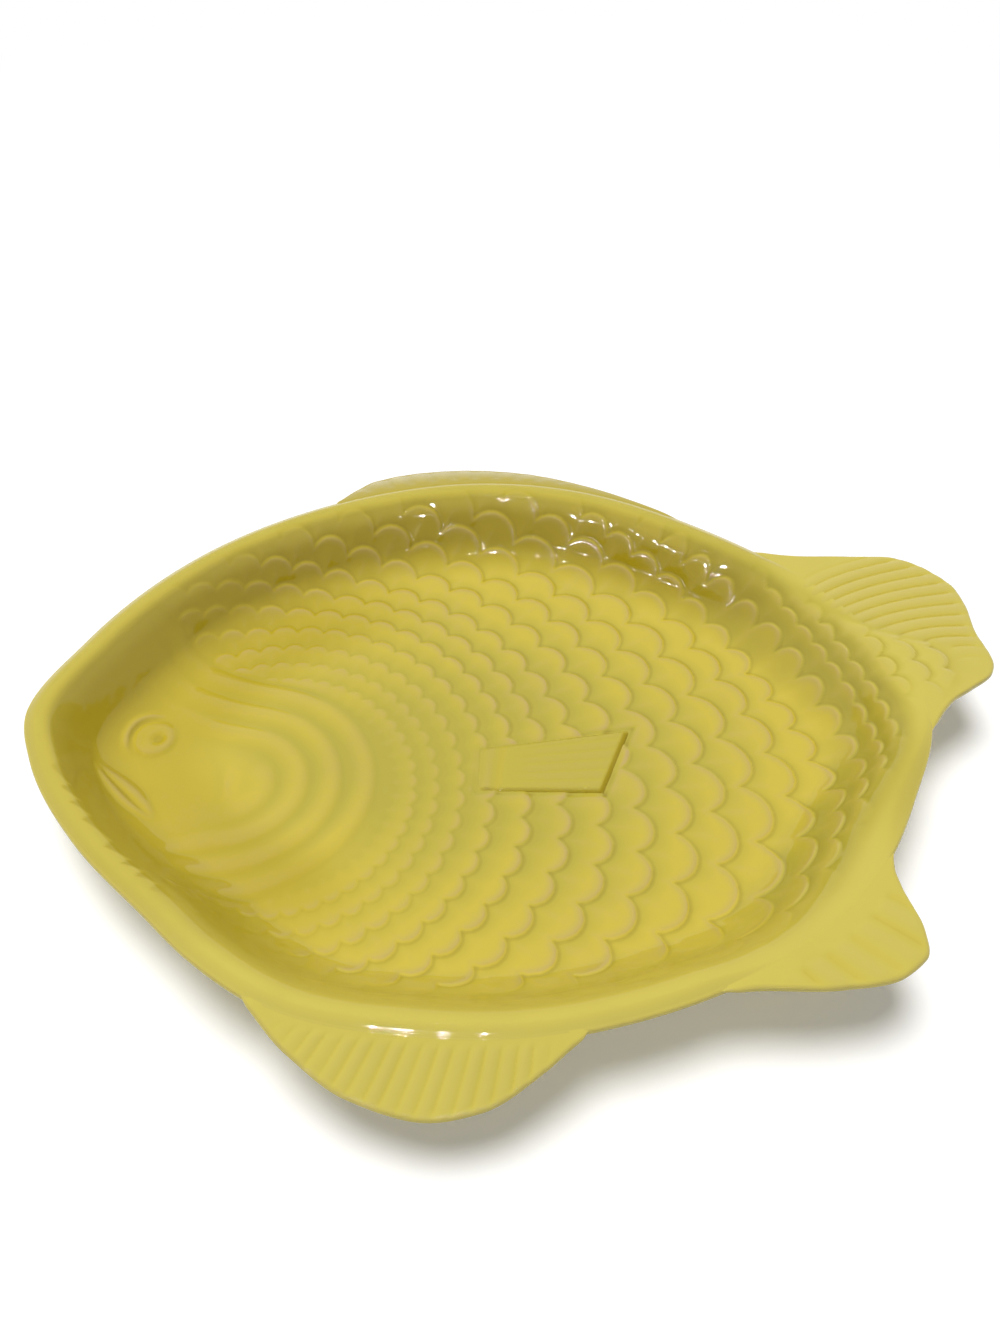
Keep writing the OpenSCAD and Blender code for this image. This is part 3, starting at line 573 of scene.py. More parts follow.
def glaze(name, full):
    """Glossy yellow glaze: thin on crests, pooled in hollows, paler outside the well, with a few pinholes,
    and with painted shade on walls, at the roots of scales and in grooves.
    """
    material, wire = new_material(name)
    place = wire.node("ShaderNodeTexCoord", output="Object")
    height = painted(wire, "crest")
    low = painted(wire, "low")
    # The slope attribute holds painted shade, not a slope
    steep_shade = painted(wire, "slope")
    outer = painted(wire, "outer")
    cloud = noise(wire, place, CLOUD_SCALE, 3.0)
    grain = noise(wire, place, GRAIN_SCALE, 2.0)
    swell = noise(wire, place, SWELL_SCALE, 1.0)
    # Deeper glaze in hollows, and also where low crest values carry painted shade
    pool_and_shade = (height * -0.85 + (cloud - 0.5) * 0.25).clamped()
    groove_shade = (height * -0.75 - 0.25).clamped()
    bare = (height * 0.7 + (cloud - 0.5) * 0.5 + (grain - 0.5) * 0.25).clamped()
    color = mix_color(wire, pool_and_shade, mix_color(wire, outer, full, PALE), DEEP)
    # Painted shade at the roots of scales and in the middle of the floor, with painted shade and reflection
    # on the wall before the tail
    color = mix_color(wire, (low * 0.8 + (cloud - 0.5) * 0.6).clamped(), color, ROOT_SHADE)
    # Painted shade: darker olive where the slope attribute asks for it
    color = mix_color(wire, (steep_shade * 0.8).clamped(), color, WALL_SHADE)
    color = mix_color(wire, bare, color, mix_color(wire, outer, THIN, THIN_PALE))
    # Painted shade: dark olive in the deepest hollows and on the lower sides of edges
    color = mix_color(wire, groove_shade, color, GROOVE_SHADE)
    holes = {"Vector": place, "Scale": PINHOLE_SCALE}
    cell = wire.node("ShaderNodeTexVoronoi", None, holes)
    chance = wire.node("ShaderNodeTexVoronoi", None, holes, output="Color")
    lucky = wire.node("ShaderNodeSeparateColor", None, {0: chance})
    speck = lucky.math("GREATER_THAN", lucky, 1 - PINHOLE_CHANCE) * cell.math("LESS_THAN", cell, PINHOLE_SIZE)
    color = mix_color(wire, speck, color, PINHOLE)
    roughness = 0.03 + 0.04 * cloud + 0.04 * bare
    uneven = (swell + grain * 0.12) * (1 - outer * 0.95) - speck
    bump = wire.node("ShaderNodeBump", None, {"Strength": 0.15, "Distance": 0.0006, "Height": uneven})
    shader = wire.node("ShaderNodeBsdfPrincipled", None,
                       {"Base Color": color, "Roughness": roughness, "Normal": bump, "IOR": 1.43,
                        "Specular IOR Level": 0.35})
    wire.node("ShaderNodeOutputMaterial", None, {"Surface": shader})
    return material


CLAY_DARK = srgb(206, 187, 150)
CLAY_PALE = srgb(226, 212, 182)
RAGGED_SCALE, GRIT_SCALE = 90.0, 900.0
WIPED_HEIGHT, RAGGED_HEIGHT = 1.2 * MM, 2 * MM


def foot_clay(name, glazed):
    """Wiped clay on the ring's sole, with the glaze ending unevenly on its sides."""
    material, wire = new_material(name)
    place = wire.node("ShaderNodeTexCoord", output="Object")
    level = wire.node("ShaderNodeSeparateXYZ", None, {0: place}, output="Z")
    ragged = noise(wire, place, RAGGED_SCALE, 4.0)
    grit = noise(wire, place, GRIT_SCALE, 3.0)
    covered = ((level - WIPED_HEIGHT + (ragged - 0.5) * RAGGED_HEIGHT) * 2500.0).clamped()
    clay = mix_color(wire, grit, CLAY_DARK, CLAY_PALE)
    color = mix_color(wire, covered, clay, glazed)
    bump = wire.node("ShaderNodeBump", None,
                     {"Strength": 0.4, "Distance": 0.0004, "Height": grit * (1 - covered * 0.8)})
    shader = wire.node("ShaderNodeBsdfPrincipled", None,
                       {"Base Color": color, "Roughness": 0.85 - covered * 0.65, "Normal": bump})
    wire.node("ShaderNodeOutputMaterial", None, {"Surface": shader})
    return material


well_glaze = glaze("well_glaze", FULL)
rim_glaze = glaze("rim_glaze", FULL)
fin_glaze = glaze("fin_glaze", FULL)
relief_glaze = glaze("relief_glaze", srgb(192, 177, 66))
bare_foot = foot_clay("bare_foot", FULL)

# Floor of the well: a square grid bent to a disc, so that its cells stay even
FLOOR_COLS, FLOOR_ROWS = 340, 240
UNDER_RINGS = (1, 0.75, 0.5, 0.25)
CENTRE_SHADE = 1.2
HEAD_SHADE = 0.8


def disc_grid(cols, rows):
    """Share of the radius and angle of each point of a square grid bent to a disc."""
    a, b = np.meshgrid(np.linspace(-1, 1, cols + 1), np.linspace(-1, 1, rows + 1))
    wide = np.abs(a) > np.abs(b)
    share = np.where(wide, np.abs(a), np.abs(b))
    turn = np.where(wide, np.where(a > 0, 0, 180) + 45 * b / np.where(wide, a, 1),
                    np.where(b > 0, 90, -90) - 45 * a / np.where(wide, 1, np.where(b == 0, 1, b)))
    return share, (turn + 180) % 360 - 180


def border(cols, rows):
    """Border of the grid, once round against the clock."""
    n = cols + 1
    low = np.arange(0, cols)
    right = np.arange(0, rows) * n + cols
    high = rows * n + np.arange(cols, 0, -1)
    left = np.arange(rows, 0, -1) * n
    return np.concatenate([low, right, high, left])


floor_share, floor_turn = disc_grid(FLOOR_COLS, FLOOR_ROWS)
floor_border = border(FLOOR_COLS, FLOOR_ROWS)
round_turn = floor_turn.reshape(-1)[floor_border]
UNDER_RUN_FLAT = (-CLAY / math.sin(WALL_ANGLE) + (INNER_Z - FOOT_HEIGHT) / math.tan(WALL_ANGLE)
                  + (FLOOR_FILLET + CLAY) * math.tan(WALL_ANGLE / 2))
# Run and height where the outer side of the wall starts below the rim
UNDER_TOP = (-CLAY * math.sin(WALL_ANGLE), INNER_Z - CLAY * math.cos(WALL_ANGLE))


def inside(t, inset):
    return rim_edge(t) - outward(t) * np.asarray(inset)[..., None]


def make_floor():
    reach = floor_share * floor_radius(floor_turn)
    plan_points = outward(floor_turn) * reach[..., None]
    z = FLOOR_Z - FLOOR_DISH * (1 - floor_share ** 2) ** 2 + sampled(relief, plan_points)
    edge = inside(round_turn, rim_width_at(round_turn) + UNDER_RUN_FLAT)
    n, m, levels = z.size, len(edge), len(UNDER_RINGS)
    under = [lifted_z(edge * share, np.full(m, FOOT_HEIGHT)) for share in UNDER_RINGS]
    under.append([0, 0, FOOT_HEIGHT])
    here, following = n + np.arange(m), n + np.roll(np.arange(m), -1)
    side = np.stack([floor_border, here, following, np.roll(floor_border, -1)], -1)
    faces = [grid_faces(FLOOR_ROWS + 1, FLOOR_COLS + 1), side,
             grid_faces(levels, m, first=n, wrap_cols=True)[:, ::-1],
             ring_fan(n + (levels - 1) * m + np.arange(m), n + levels * m)[:, ::-1]]
    flat = np.zeros(levels * m + 1)
    # Painted shade at the roots of scales, and darker towards the middle of the floor
    low_shade = sampled(low_lying, plan_points) + CENTRE_SHADE * (1 - floor_share ** 2) ** 2
    from_wall = (1 - floor_share) * floor_radius(floor_turn)
    # Painted shade of the walls, run on over the floor near them and round the head
    shade_share = head_shade(floor_turn) * wall_shade(floor_turn) * (1 - ease((from_wall - 12) / 24))
    return piece("floor_skin", [lifted_z(plan_points, z)] + under, faces,
                 {"crest": [sampled(crest, plan_points), flat], "slope": [shade_share, flat],
                  "outer": [np.zeros(n), flat + 1], "low": [low_shade, flat]}, well_glaze)


# Wall of the well with its outer side
WALL_ROWS = 62
SEAM_SHARE = 0.5
RIGHT_SHADE = 0.9
UNDER_ROWS, UNDER_STRAIGHT_ROWS = 20, 6
# Teeth of painted shade on the rim below the nose: degrees from one to the next, and reach
TOOTH_PITCH = 3.9
TOOTH_REACH = 3.6


def under_section():
    """Outer side of the wall from below the rim to the level underside: run and height."""
    radius = FLOOR_FILLET + CLAY
    lean = np.linspace(WALL_ANGLE, 0, UNDER_ROWS - UNDER_STRAIGHT_ROWS)
    run = UNDER_RUN_FLAT - radius * np.sin(lean)
    z = FOOT_HEIGHT + radius * (1 - np.cos(lean))
    share = np.linspace(0, 1, UNDER_STRAIGHT_ROWS + 1)[:-1]
    return (np.concatenate([UNDER_TOP[0] + (run[0] - UNDER_TOP[0]) * share, run]),
            np.concatenate([UNDER_TOP[1] + (z[0] - UNDER_TOP[1]) * share, z]))


def head_shade(t):
    """Share of the wall's painted shade that runs on over the floor round the head."""
    return HEAD_SHADE * within(t % 360, 112, 228, 44)


def wall_shade(t):
    """Share of the wall's painted shade: full at the far side, less at the nose, none at tail and belly."""
    turn = t % 360
    return within(turn, 28, 225, 40) * (1 - 0.3 * within(turn, 150, 205, 40))


def right_shade(t):
    """Painted shade and painted reflection: darker olive between the scales of the wall before the tail."""
    return RIGHT_SHADE * within(t, -42, 40, 24)


def shade_left(t, beyond, soft):
    """Share of the wall's painted shade left beyond its top: a soft fade, but sharp teeth below the nose."""
    saw = (t / TOOTH_PITCH + 0.25 * np.sin(np.radians(23 * t))) % 1
    tooth = TOOTH_REACH * np.minimum(saw / 0.25, (1 - saw) / 0.75)
    toothed = 1 - ease((beyond - tooth + 1) / 1.6)
    return soft + within(t % 360, 182, 208, 12) * (toothed - soft)


def make_wall():
    t = round_turn
    w = rim_width_at(t)
    rows, crests, slopes, lows, outers = [], [], [], [], []
    for s in np.linspace(0, WALL_REACH, WALL_ROWS + 1):
        run, z, lean = wall_section(np.full(len(t), s))
        z, lean = with_ramp(t, w + run, z, lean)
        q = outward(t) * (floor_radius(t) + s)[:, None]
        height = sampled(relief, q)
        rows.append(lifted_z(inside(t, w + run + height * np.sin(lean)), z + height * np.cos(lean)))
        crests.append(sampled(crest, q))
        # Painted shade: darker on the steep wall and round the head, fading at the top; painted shade and
        # reflection between the scales before the tail
        shade_weight = np.maximum(ease(lean / WALL_ANGLE), head_shade(t))
        fade = 1 - 0.7 * ease((s - WALL_REACH + 9) / 9)
        slopes.append(wall_shade(t) * shade_weight * shade_left(t, s - WALL_REACH, fade))
        lows.append(sampled(low_lying, q) + right_shade(t) * ease(s / 14))
        outers.append(np.full(len(t), SEAM_SHARE * float(ease((s - WALL_REACH + 16) / 16))))
    for run, z in zip(*under_section()):
        rows.append(lifted_z(inside(t, w + run), np.full(len(t), z)))
        for values in (crests, slopes, lows):
            values.append(np.zeros(len(t)))
        outers.append(np.ones(len(t)))
    faces = [ring_faces(len(rows), len(t), wrap_rows=True, wrap_cols=True)]
    return piece("wall_skin", rows, faces,
                 {"crest": crests, "slope": slopes, "low": lows, "outer": outers}, well_glaze)


# Rim: a flat topped bead that turns down quickly into the well
BEAD_FALL = 1.6
RIM_SHADE = 0.35
TAIL_SINK = 1.1
FLAT_FALL = 0.25
RIM_INNER_STEPS = 14
RIM_OUTER_STEPS = 9
RIM_EDGE_STEPS = 8


def flat_share(t):
    """1 where the rim runs level into the tail and the anal fin."""
    return np.maximum(within(t, -10, 27, 12), within(t, -58, -26, 14))


def rim_waver(t):
    """Slight unevenness of the hand finished rim."""
    return 0.10 * np.sin(np.radians(7 * t + 40)) + 0.02 * np.sin(np.radians(17 * t))


def rim_shoulder(t, inset):
    """0 at the rim's crest and outside it, 1 at its inner edge."""
    w = rim_width_at(t)
    return np.clip((inset - CREST_SHARE * w) / ((1 - CREST_SHARE) * w), 0, 1)


def rim_fall(t):
    """How far the rim's top turns down into the well, and the power that meets the wall's slope."""
    w = rim_width_at(t)
    drop = RIM_CROWN - 0.24 - TAIL_SINK * within(t, -2, 22, 12)
    return drop, math.tan(WALL_ANGLE) * (1 - CREST_SHARE) * w / drop


def bead_top(t, inset):
    """Height of the rim's own section."""
    w = rim_width_at(t)
    c = CREST_SHARE * w
    fall = BEAD_FALL + (FLAT_FALL - BEAD_FALL) * flat_share(t)
    drop, power = rim_fall(t)
    inner = drop * np.clip((inset - c) / (w - c), 0, None) ** power
    outer = fall * np.clip((c - inset) / (c - EDGE_ROUND), 0, None) ** 1.5
    return INNER_Z + drop - inner - outer + rim_waver(t) * np.clip((w - inset) / 4, 0, 1)


def with_ramp(t, inset, z, lean):
    """Height and lean of a section, eased to one slope at the tail and, in part, along the belly."""
    crown = CREST_SHARE * rim_width_at(t)
    end = crown + (EDGE_ROUND - crown) * flat_share(t)
    length = rim_width_at(t) + WELL_RUN - end
    share = np.clip(1 - (inset - end) / length, 0, 1)
    rise = bead_top(t, end) - FLOOR_Z
    part = np.maximum(within(t, -1, 24, 14), 0.7 * within(t, -164, 6, 30)) * (inset > end)
    slope = (1 - part) * np.tan(lean) + part * 6 * share * (1 - share) * rise / length
    return z + part * (FLOOR_Z + rise * ease(share) - z), np.arctan(slope)


def rim_section(t, inset):
    """Height and lean of the rim's top."""
    power = rim_fall(t)[1]
    lean = np.arctan(math.tan(WALL_ANGLE) * rim_shoulder(t, inset) ** (power - 1))
    return with_ramp(t, inset, bead_top(t, inset), lean)


def rim_top(t, inset):
    return rim_section(t, inset)[0]


def rim_relief(t, inset):
    """Scales that run on over the rim at the tail: height, crest and hollow."""
    q = outward(t) * (floor_radius(t) + WALL_REACH + rim_width_at(t) - inset)[..., None]
    return sampled(relief, q), sampled(crest, q), sampled(low_lying, q)


def edge_glaze_and_shade(lean):
    """Glaze on a rounded edge: thin on its outside, with painted shade on its lower side."""
    return 0.8 * math.sin(lean) - 1.8 * float(ease((lean - 1.2) / 0.7))


def make_rim():
    t = round_turn
    w = rim_width_at(t)
    c = CREST_SHARE * w
    insets = [w + (c - w) * k / RIM_INNER_STEPS for k in range(RIM_INNER_STEPS + 1)]
    insets += [c + (EDGE_ROUND - c) * k / RIM_OUTER_STEPS for k in range(1, RIM_OUTER_STEPS + 1)]
    rows, crests, slopes, lows, outers = [], [], [], [], []
    for inset in insets:
        height, ridge, hollow = rim_relief(t, inset)
        z, lean = rim_section(t, inset)
        rows.append(lifted_z(inside(t, inset + height * np.sin(lean)), z + height * np.cos(lean)))
        crests.append(ridge + 0.25 * ease((c - inset) / c))
        # Painted shade and reflection between the scales before the tail run up the rim's shoulder
        lows.append(hollow + right_shade(t) * ease(rim_shoulder(t, inset)))
        outers.append(1 - (1 - SEAM_SHARE) * ease(rim_shoulder(t, inset)))
        # Painted shade: the wall's shade up the rim's inner side, with teeth below the nose, and a darker
        # level top away from the fins and belly
        steep_shade = ease(lean / WALL_ANGLE)
        level_shade = RIM_SHADE * (1 - flat_share(t)) * (1 - within(t, -145, -50, 30))
        slopes.append(wall_shade(t) * shade_left(t, w - inset, 0.3 * steep_shade) + level_shade * (1 - steep_shade))
    top = rim_top(t, np.full(len(t), EDGE_ROUND))
    half = (top - UNDER_Z) / 2
    for k in range(1, RIM_EDGE_STEPS + 1):
        lean = np.pi * k / RIM_EDGE_STEPS
        rows.append(lifted_z(inside(t, EDGE_ROUND - EDGE_ROUND * np.sin(lean) * np.ones(len(t))),
                             UNDER_Z + half * (1 + np.cos(lean))))
        crests.append(np.full(len(t), edge_glaze_and_shade(lean)))
    for share in (0.5, 1.0):
        rows.append(lifted_z(inside(t, EDGE_ROUND + (w + UNDER_TOP[0] - EDGE_ROUND) * share),
                             np.full(len(t), UNDER_Z + (UNDER_TOP[1] - UNDER_Z) * share)))
        crests.append(np.zeros(len(t)))
    rest = np.zeros((len(rows) - len(insets)) * len(t))
    faces = [ring_faces(len(rows), len(t), wrap_rows=True, wrap_cols=True)]
    return piece("rim_bead", rows, faces,
                 {"crest": crests, "slope": slopes + [rest], "low": lows + [rest],
                  "outer": outers + [rest + 1]}, rim_glaze)


# Node trees
def new_tree(name, sizes):
    """Node tree with named inputs for its sizes and its material: its first wire, and those of the inputs."""
    tree = bpy.data.node_groups.new(name, "GeometryNodeTree")
    tree.interface.new_socket("Geometry", in_out="INPUT", socket_type="NodeSocketGeometry")
    for label, value in sizes:
        socket = tree.interface.new_socket(label, in_out="INPUT", socket_type="NodeSocketFloat")
        socket.default_value = value
    tree.interface.new_socket("Material", in_out="INPUT", socket_type="NodeSocketMaterial")
    tree.interface.new_socket("Geometry", in_out="OUTPUT", socket_type="NodeSocketGeometry")
    group = tree.nodes.new("NodeGroupInput")
    return Wire(tree, None), {s.name: Wire(tree, s) for s in group.outputs if s.name}


def ended(wire, geometry, material):
    """Ends a tree in a plain mesh with its material."""
    plain = wire.node("GeometryNodeRealizeInstances", None, {"Geometry": geometry})
    done = wire.node("GeometryNodeSetMaterial", None, {"Geometry": plain, "Material": material})
    wire.node("NodeGroupOutput", None, {0: done})
    return wire.tree


# Fin rays: a node tree that raises ribs on a fin's top from the phase and strength stored on its points
def ray_tree():
    wire, given = new_tree("fin_rays", (("Ray height", 0.8 * MM), ("Ray sharpness", 1.0),
                                        ("Crest share", 0.8)))

    def stored(name):
        return wire.node("GeometryNodeInputNamedAttribute", {"data_type": "FLOAT"}, {"Name": name})

    phase = stored("ray_phase") * math.pi
    wave = phase.math("ABSOLUTE", phase.math("SINE", phase))
    ridge = wave.math("POWER", wave, given["Ray sharpness"]) - 0.5
    strong = ridge * stored("ray_strength")
    offset = wire.node("ShaderNodeCombineXYZ", None, {"Z": strong * given["Ray height"]})
    moved = wire.node("GeometryNodeSetPosition", None, {"Geometry": given["Geometry"], "Offset": offset})
    tinted = wire.node("GeometryNodeStoreNamedAttribute", {"data_type": "FLOAT", "domain": "POINT"},
                       {"Geometry": moved, "Name": "crest",
                        "Value": stored("crest") + strong * given["Crest share"]})
    return ended(wire, tinted, given["Material"])


def grown(obj, tree, inputs):
    """Runs a node tree on an object and keeps the result as its plain mesh."""
    modifier = obj.modifiers.new(tree.name, "NODES")
    modifier.node_group = tree
    for item in tree.interface.items_tree:
        if item.item_type == "SOCKET" and item.in_out == "INPUT" and item.name in inputs:
            modifier[item.identifier] = inputs[item.name]
    bpy.context.view_layer.update()
    evaluated = obj.evaluated_get(bpy.context.evaluated_depsgraph_get())
    mesh = bpy.data.meshes.new_from_object(evaluated)
    obj.modifiers.remove(modifier)
    obj.data = mesh
    for key in ("ray_phase", "ray_strength"):
        if key in mesh.attributes:
            mesh.attributes.remove(mesh.attributes[key])
    mesh.polygons.foreach_set("use_smooth", np.ones(len(mesh.polygons), bool))
    mesh.update()
    return obj


# How far the ends of a fin tuck in and sink under the rim, and the least width there
FIN_TUCK, FIN_SINK, FIN_TIP = 0.9, 0.5, 1.4
FIN_TOP_STEPS = 44
FIN_EDGE_STEPS = 8
FIN_UNDER_STEPS = 14
fin_rays = ray_tree()


def make_fin(name, shape, reach, drop, lap, rays, ray_height, sharpness, contrast=0.9, shade_share=0.0, step=0.2,
             bow=1.5):
    """Fin on the rim's outer edge. rays gives the phase and strength of its ribs from angle and reach."""
    t = np.arange(shape[0][0], shape[-1][0] + step / 2, step)
    share = open_curve(shape, t)
    out = reach * share - FIN_TUCK * (1 - ease(share / 0.08))
    half = np.minimum(FIN_EDGE / 2, 0.4 * (out + FIN_TIP))
    at_end = 1 - ease(share / 0.06)
    root = rim_top(t, np.full(len(t), EDGE_ROUND))
    tip = out - half
    fall = drop * share

    def beyond_root(d):
        return np.clip((d + EDGE_ROUND) / (out + EDGE_ROUND + 0.2), 0, 1)

    def top_z(d):
        level = root - fall * beyond_root(d) ** bow - FIN_SINK * at_end
        under_rim = np.clip(-EDGE_ROUND - d, 0, None)
        on_rim = rim_top(t, np.clip(-d, EDGE_ROUND, None))
        lapped = on_rim + 0.05 - FIN_SINK * np.maximum(ease(under_rim / lap), at_end)
        sunk = root - 0.25 * under_rim
        flat = flat_share(t)
        return np.where(under_rim > 0, flat * lapped + (1 - flat) * sunk, level)

    rows, crests, phases, strengths, lows = [], [], [], [], []

    def add(d, z, ridge, phase, strength):
        rows.append(lifted_z(inside(t, -d), z))
        crests.append(ridge * np.ones(len(t)))
        phases.append(phase * np.ones(len(t)))
        strengths.append(strength * np.ones(len(t)))

    for k in range(FIN_TOP_STEPS + 1):
        d = -lap + (tip + lap) * k / FIN_TOP_STEPS
        height, ridge, hollow = rim_relief(t, -d)
        phase, strength = rays(t, d, out)
        lows.append(hollow)
        add(d, top_z(d) + height, ridge, phase, strength)
    high = top_z(tip) + rim_relief(t, -tip)[0]
    for k in range(1, FIN_EDGE_STEPS):
        lean = np.pi * k / FIN_EDGE_STEPS
        phase, strength = rays(t, tip, out)
        add(tip + half * np.sin(lean), high - half * (1 - np.cos(lean)), edge_glaze_and_shade(lean), phase,
            strength * max(0, math.cos(lean)) ** 2)
    for k in range(FIN_UNDER_STEPS + 1):
        d = tip + (-lap - tip) * k / FIN_UNDER_STEPS
        thick = 2 * half + (RIM_THICKNESS - 1.3 - 2 * half) * (1 - beyond_root(d))
        add(d, np.minimum(top_z(d), root) - thick, 0, 0, 0)
    size, count = len(rows), len(t)
    ends = [np.arange(size) * count, np.arange(size)[::-1] * count + count - 1]
    faces = [ring_faces(size, count, wrap_rows=True), [ends[0]], [ends[1]]]
    obj = piece(name, rows, faces,
                {"crest": crests, "ray_phase": phases, "ray_strength": strengths,
                 # The slope attribute holds painted shade over the whole fin
                 "slope": [np.full(size * count, shade_share)],
                 "low": lows + [np.zeros((size - len(lows)) * count)],
                 "outer": [np.ones(size * count)]}, fin_glaze)
    return grown(obj, fin_rays, {"Ray height": ray_height * MM, "Ray sharpness": sharpness,
                                 "Crest share": contrast, "Material": fin_glaze})


def even_rays(shape, count, root_gap, edge_gap, lean=0.0):
    """Evenly spread rays that fade at a fin's root and edge, and lean by some degrees a millimetre."""
    first, last = shape[0][0], shape[-1][0]

    def rays(t, d, out):
        phase = (t + lean * d - first) / (last - first) * count
        uneven = 0.8 + 0.2 * np.sin(2.4 * np.floor(phase))
        edge_fade = 0.35 + 0.65 * ease((out - d - edge_gap) / 3)
        strength = ease((d - root_gap) / 3) * edge_fade * ease(out / 8 - 0.4)
        return phase, strength * uneven
    return rays


TAIL_RAY_PITCH = 1.8
TAIL_RAY_BEND = 0.9


def tail_rays(t, d, out):
    """Fine rays that start at the last scales and bend a little on their way to the edge."""
    radius = edge_radius(t) + d
    start = open_curve(TAIL_SCALE_END, np.clip(t, -12, 34))
    edge = edge_radius(t) + out
    along = np.clip((radius - start) / np.maximum(edge - start, 5), 0, 1)
    phase = (t - TAIL_RAY_BEND * np.sin(np.pi * along ** 0.8)) / TAIL_RAY_PITCH
    edge_fade = 0.3 + 0.7 * ease((edge - radius - 2) / 4)
    return phase, ease((radius - start) / 6) * within(t, 3.5, 21.5, 5) * edge_fade


# Pectoral fan with its root lobe and fine rays
PECTORAL_COLS, PECTORAL_ROWS = 90, 64
PECTORAL_LENGTH, PECTORAL_ROOT, PECTORAL_FLARE = 54, 19, 12
PECTORAL_RAYS = 6
# Lobe at the root and the groove behind it: distances from the root, and rise
LOBE_PLACE, LOBE_GROOVE, LOBE_RISE = 4, 8.5, 0.3
# How deep the fan is sunk into the floor
PECTORAL_SINK = 0.8


def make_pectoral():
    along, across = np.meshgrid(np.linspace(0, 1, PECTORAL_COLS), np.linspace(0, 1, PECTORAL_ROWS))
    plan_points = pectoral_place(along, across)
    share = np.linalg.norm(plan_points, axis=-1) / floor_radius(angle_of(plan_points))
    ground = FLOOR_Z - FLOOR_DISH * (1 - share ** 2) ** 2
    width = PECTORAL_ROOT + PECTORAL_FLARE * along
    from_lower = across * width
    from_upper = (1 - across) * width
    near_end = along * PECTORAL_LENGTH
    far_end = (1 - along) * PECTORAL_LENGTH
    side_fall = ease(from_lower / 1.3 + 0.15) * ease(from_upper / 3 + 0.25)
    end_fall = ease(near_end / 3 + 0.1) * ease(far_end / 2.8 + 0.1)
    lobe = np.exp(-((near_end - LOBE_PLACE) / 1.6) ** 2) - np.exp(-((near_end - LOBE_GROOVE) / 1.5) ** 2)
    height = (PECTORAL_RISE * (0.5 + 0.5 * along) + LOBE_RISE * lobe) * side_fall * end_fall
    top = lifted_z(plan_points, ground + height - 0.05)
    under = lifted_z(plan_points, ground - PECTORAL_SINK)
    n = along.size
    edge = border(PECTORAL_COLS - 1, PECTORAL_ROWS - 1)
    side = np.stack([edge, n + edge, n + np.roll(edge, -1), np.roll(edge, -1)], -1)
    faces = [grid_faces(PECTORAL_ROWS, PECTORAL_COLS),
             grid_faces(PECTORAL_ROWS, PECTORAL_COLS, first=n)[:, ::-1], side]
    from_side = np.minimum(from_lower, from_upper)
    strength = ease((along - 0.2) / 0.2) * ease(far_end / 4) * ease(from_side / 3)
    zero = np.zeros(n)
    # Painted shade along the fan's slanted end and a little along its lower edge
    pool_and_shade = 1.2 * (1 - ease(far_end / 3.2)) + 0.15 * (1 - ease(from_lower / 1.2))
    obj = piece("pectoral_fan", [top, under], faces,
                {"crest": [0.35 * lobe - pool_and_shade, zero], "ray_phase": [across * PECTORAL_RAYS, zero],
                 "ray_strength": [strength, zero]}, relief_glaze)
    return grown(obj, fin_rays, {"Ray height": 0.3 * MM, "Ray sharpness": 0.7, "Crest share": 0.3,
                                 "Material": relief_glaze})


# Foot ring: a rounded section swept along its line under the floor
def foot_tree():
    wire, given = new_tree("foot_sweep", (("Width", 6 * MM), ("Height", 5 * MM), ("Rounding", 1.5 * MM)))
    line = wire.node("GeometryNodeMeshToCurve", None, {"Mesh": given["Geometry"]})
    block = wire.node("GeometryNodeCurvePrimitiveQuadrilateral", None,
                      {"Width": given["Width"], "Height": given["Height"]})
    section = wire.node("GeometryNodeFilletCurve", {"mode": "POLY"},
                        {"Curve": block, "Count": 5, "Radius": given["Rounding"]})
    swept = wire.node("GeometryNodeCurveToMesh", None, {"Curve": line, "Profile Curve": section})
    return ended(wire, swept, given["Material"])


FOOT_SINK = 1.6
FOOT_ROUNDING = 1.5
FOOT_POINTS = 360


def make_foot():
    t = np.linspace(-180, 180, FOOT_POINTS, endpoint=False)
    line = inside(t, rim_width_at(t) + UNDER_RUN_FLAT + FOOT_SETBACK + FOOT_WIDTH / 2)
    points = lifted_z(line, np.full(len(t), (FOOT_HEIGHT + FOOT_SINK) / 2))
    mesh = bpy.data.meshes.new("foot_line")
    mesh.from_pydata(placed(points).tolist(), [(k, (k + 1) % len(t)) for k in range(len(t))], [])
    mesh.materials.append(bare_foot)
    obj = linked("foot_base", mesh)
    return grown(obj, foot_tree(), {"Width": FOOT_WIDTH * MM, "Height": (FOOT_HEIGHT + FOOT_SINK) * MM,
                                    "Rounding": FOOT_ROUNDING * MM, "Material": bare_foot})


# Pieces, the nodes they stand for and the finish they take
def ride(obj, slot, *nodes):
    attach(obj, "root")
    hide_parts(*nodes)


floor_skin = make_floor()
wall_skin = make_wall()
rim_bead = make_rim()
count = len(round_turn)
ring = np.arange(count)
top_floor = grid_faces(FLOOR_ROWS + 1, FLOOR_COLS + 1)
top_wall = ring_faces(WALL_ROWS + 1, count, wrap_cols=True)
top_rim = ring_faces(RIM_INNER_STEPS + 1, count, wrap_cols=True)
join_shading([[(floor_skin, top_floor, floor_border), (wall_skin, top_wall, ring)],
              [(wall_skin, top_wall, WALL_ROWS * count + ring), (rim_bead, top_rim, ring)]])
ride(floor_skin, "well_glaze", "well_floor", "eye", "lips", "gill_ridges", "scales")
ride(wall_skin, "well_glaze", "well_wall")
ride(rim_bead, "rim_glaze", "rim")
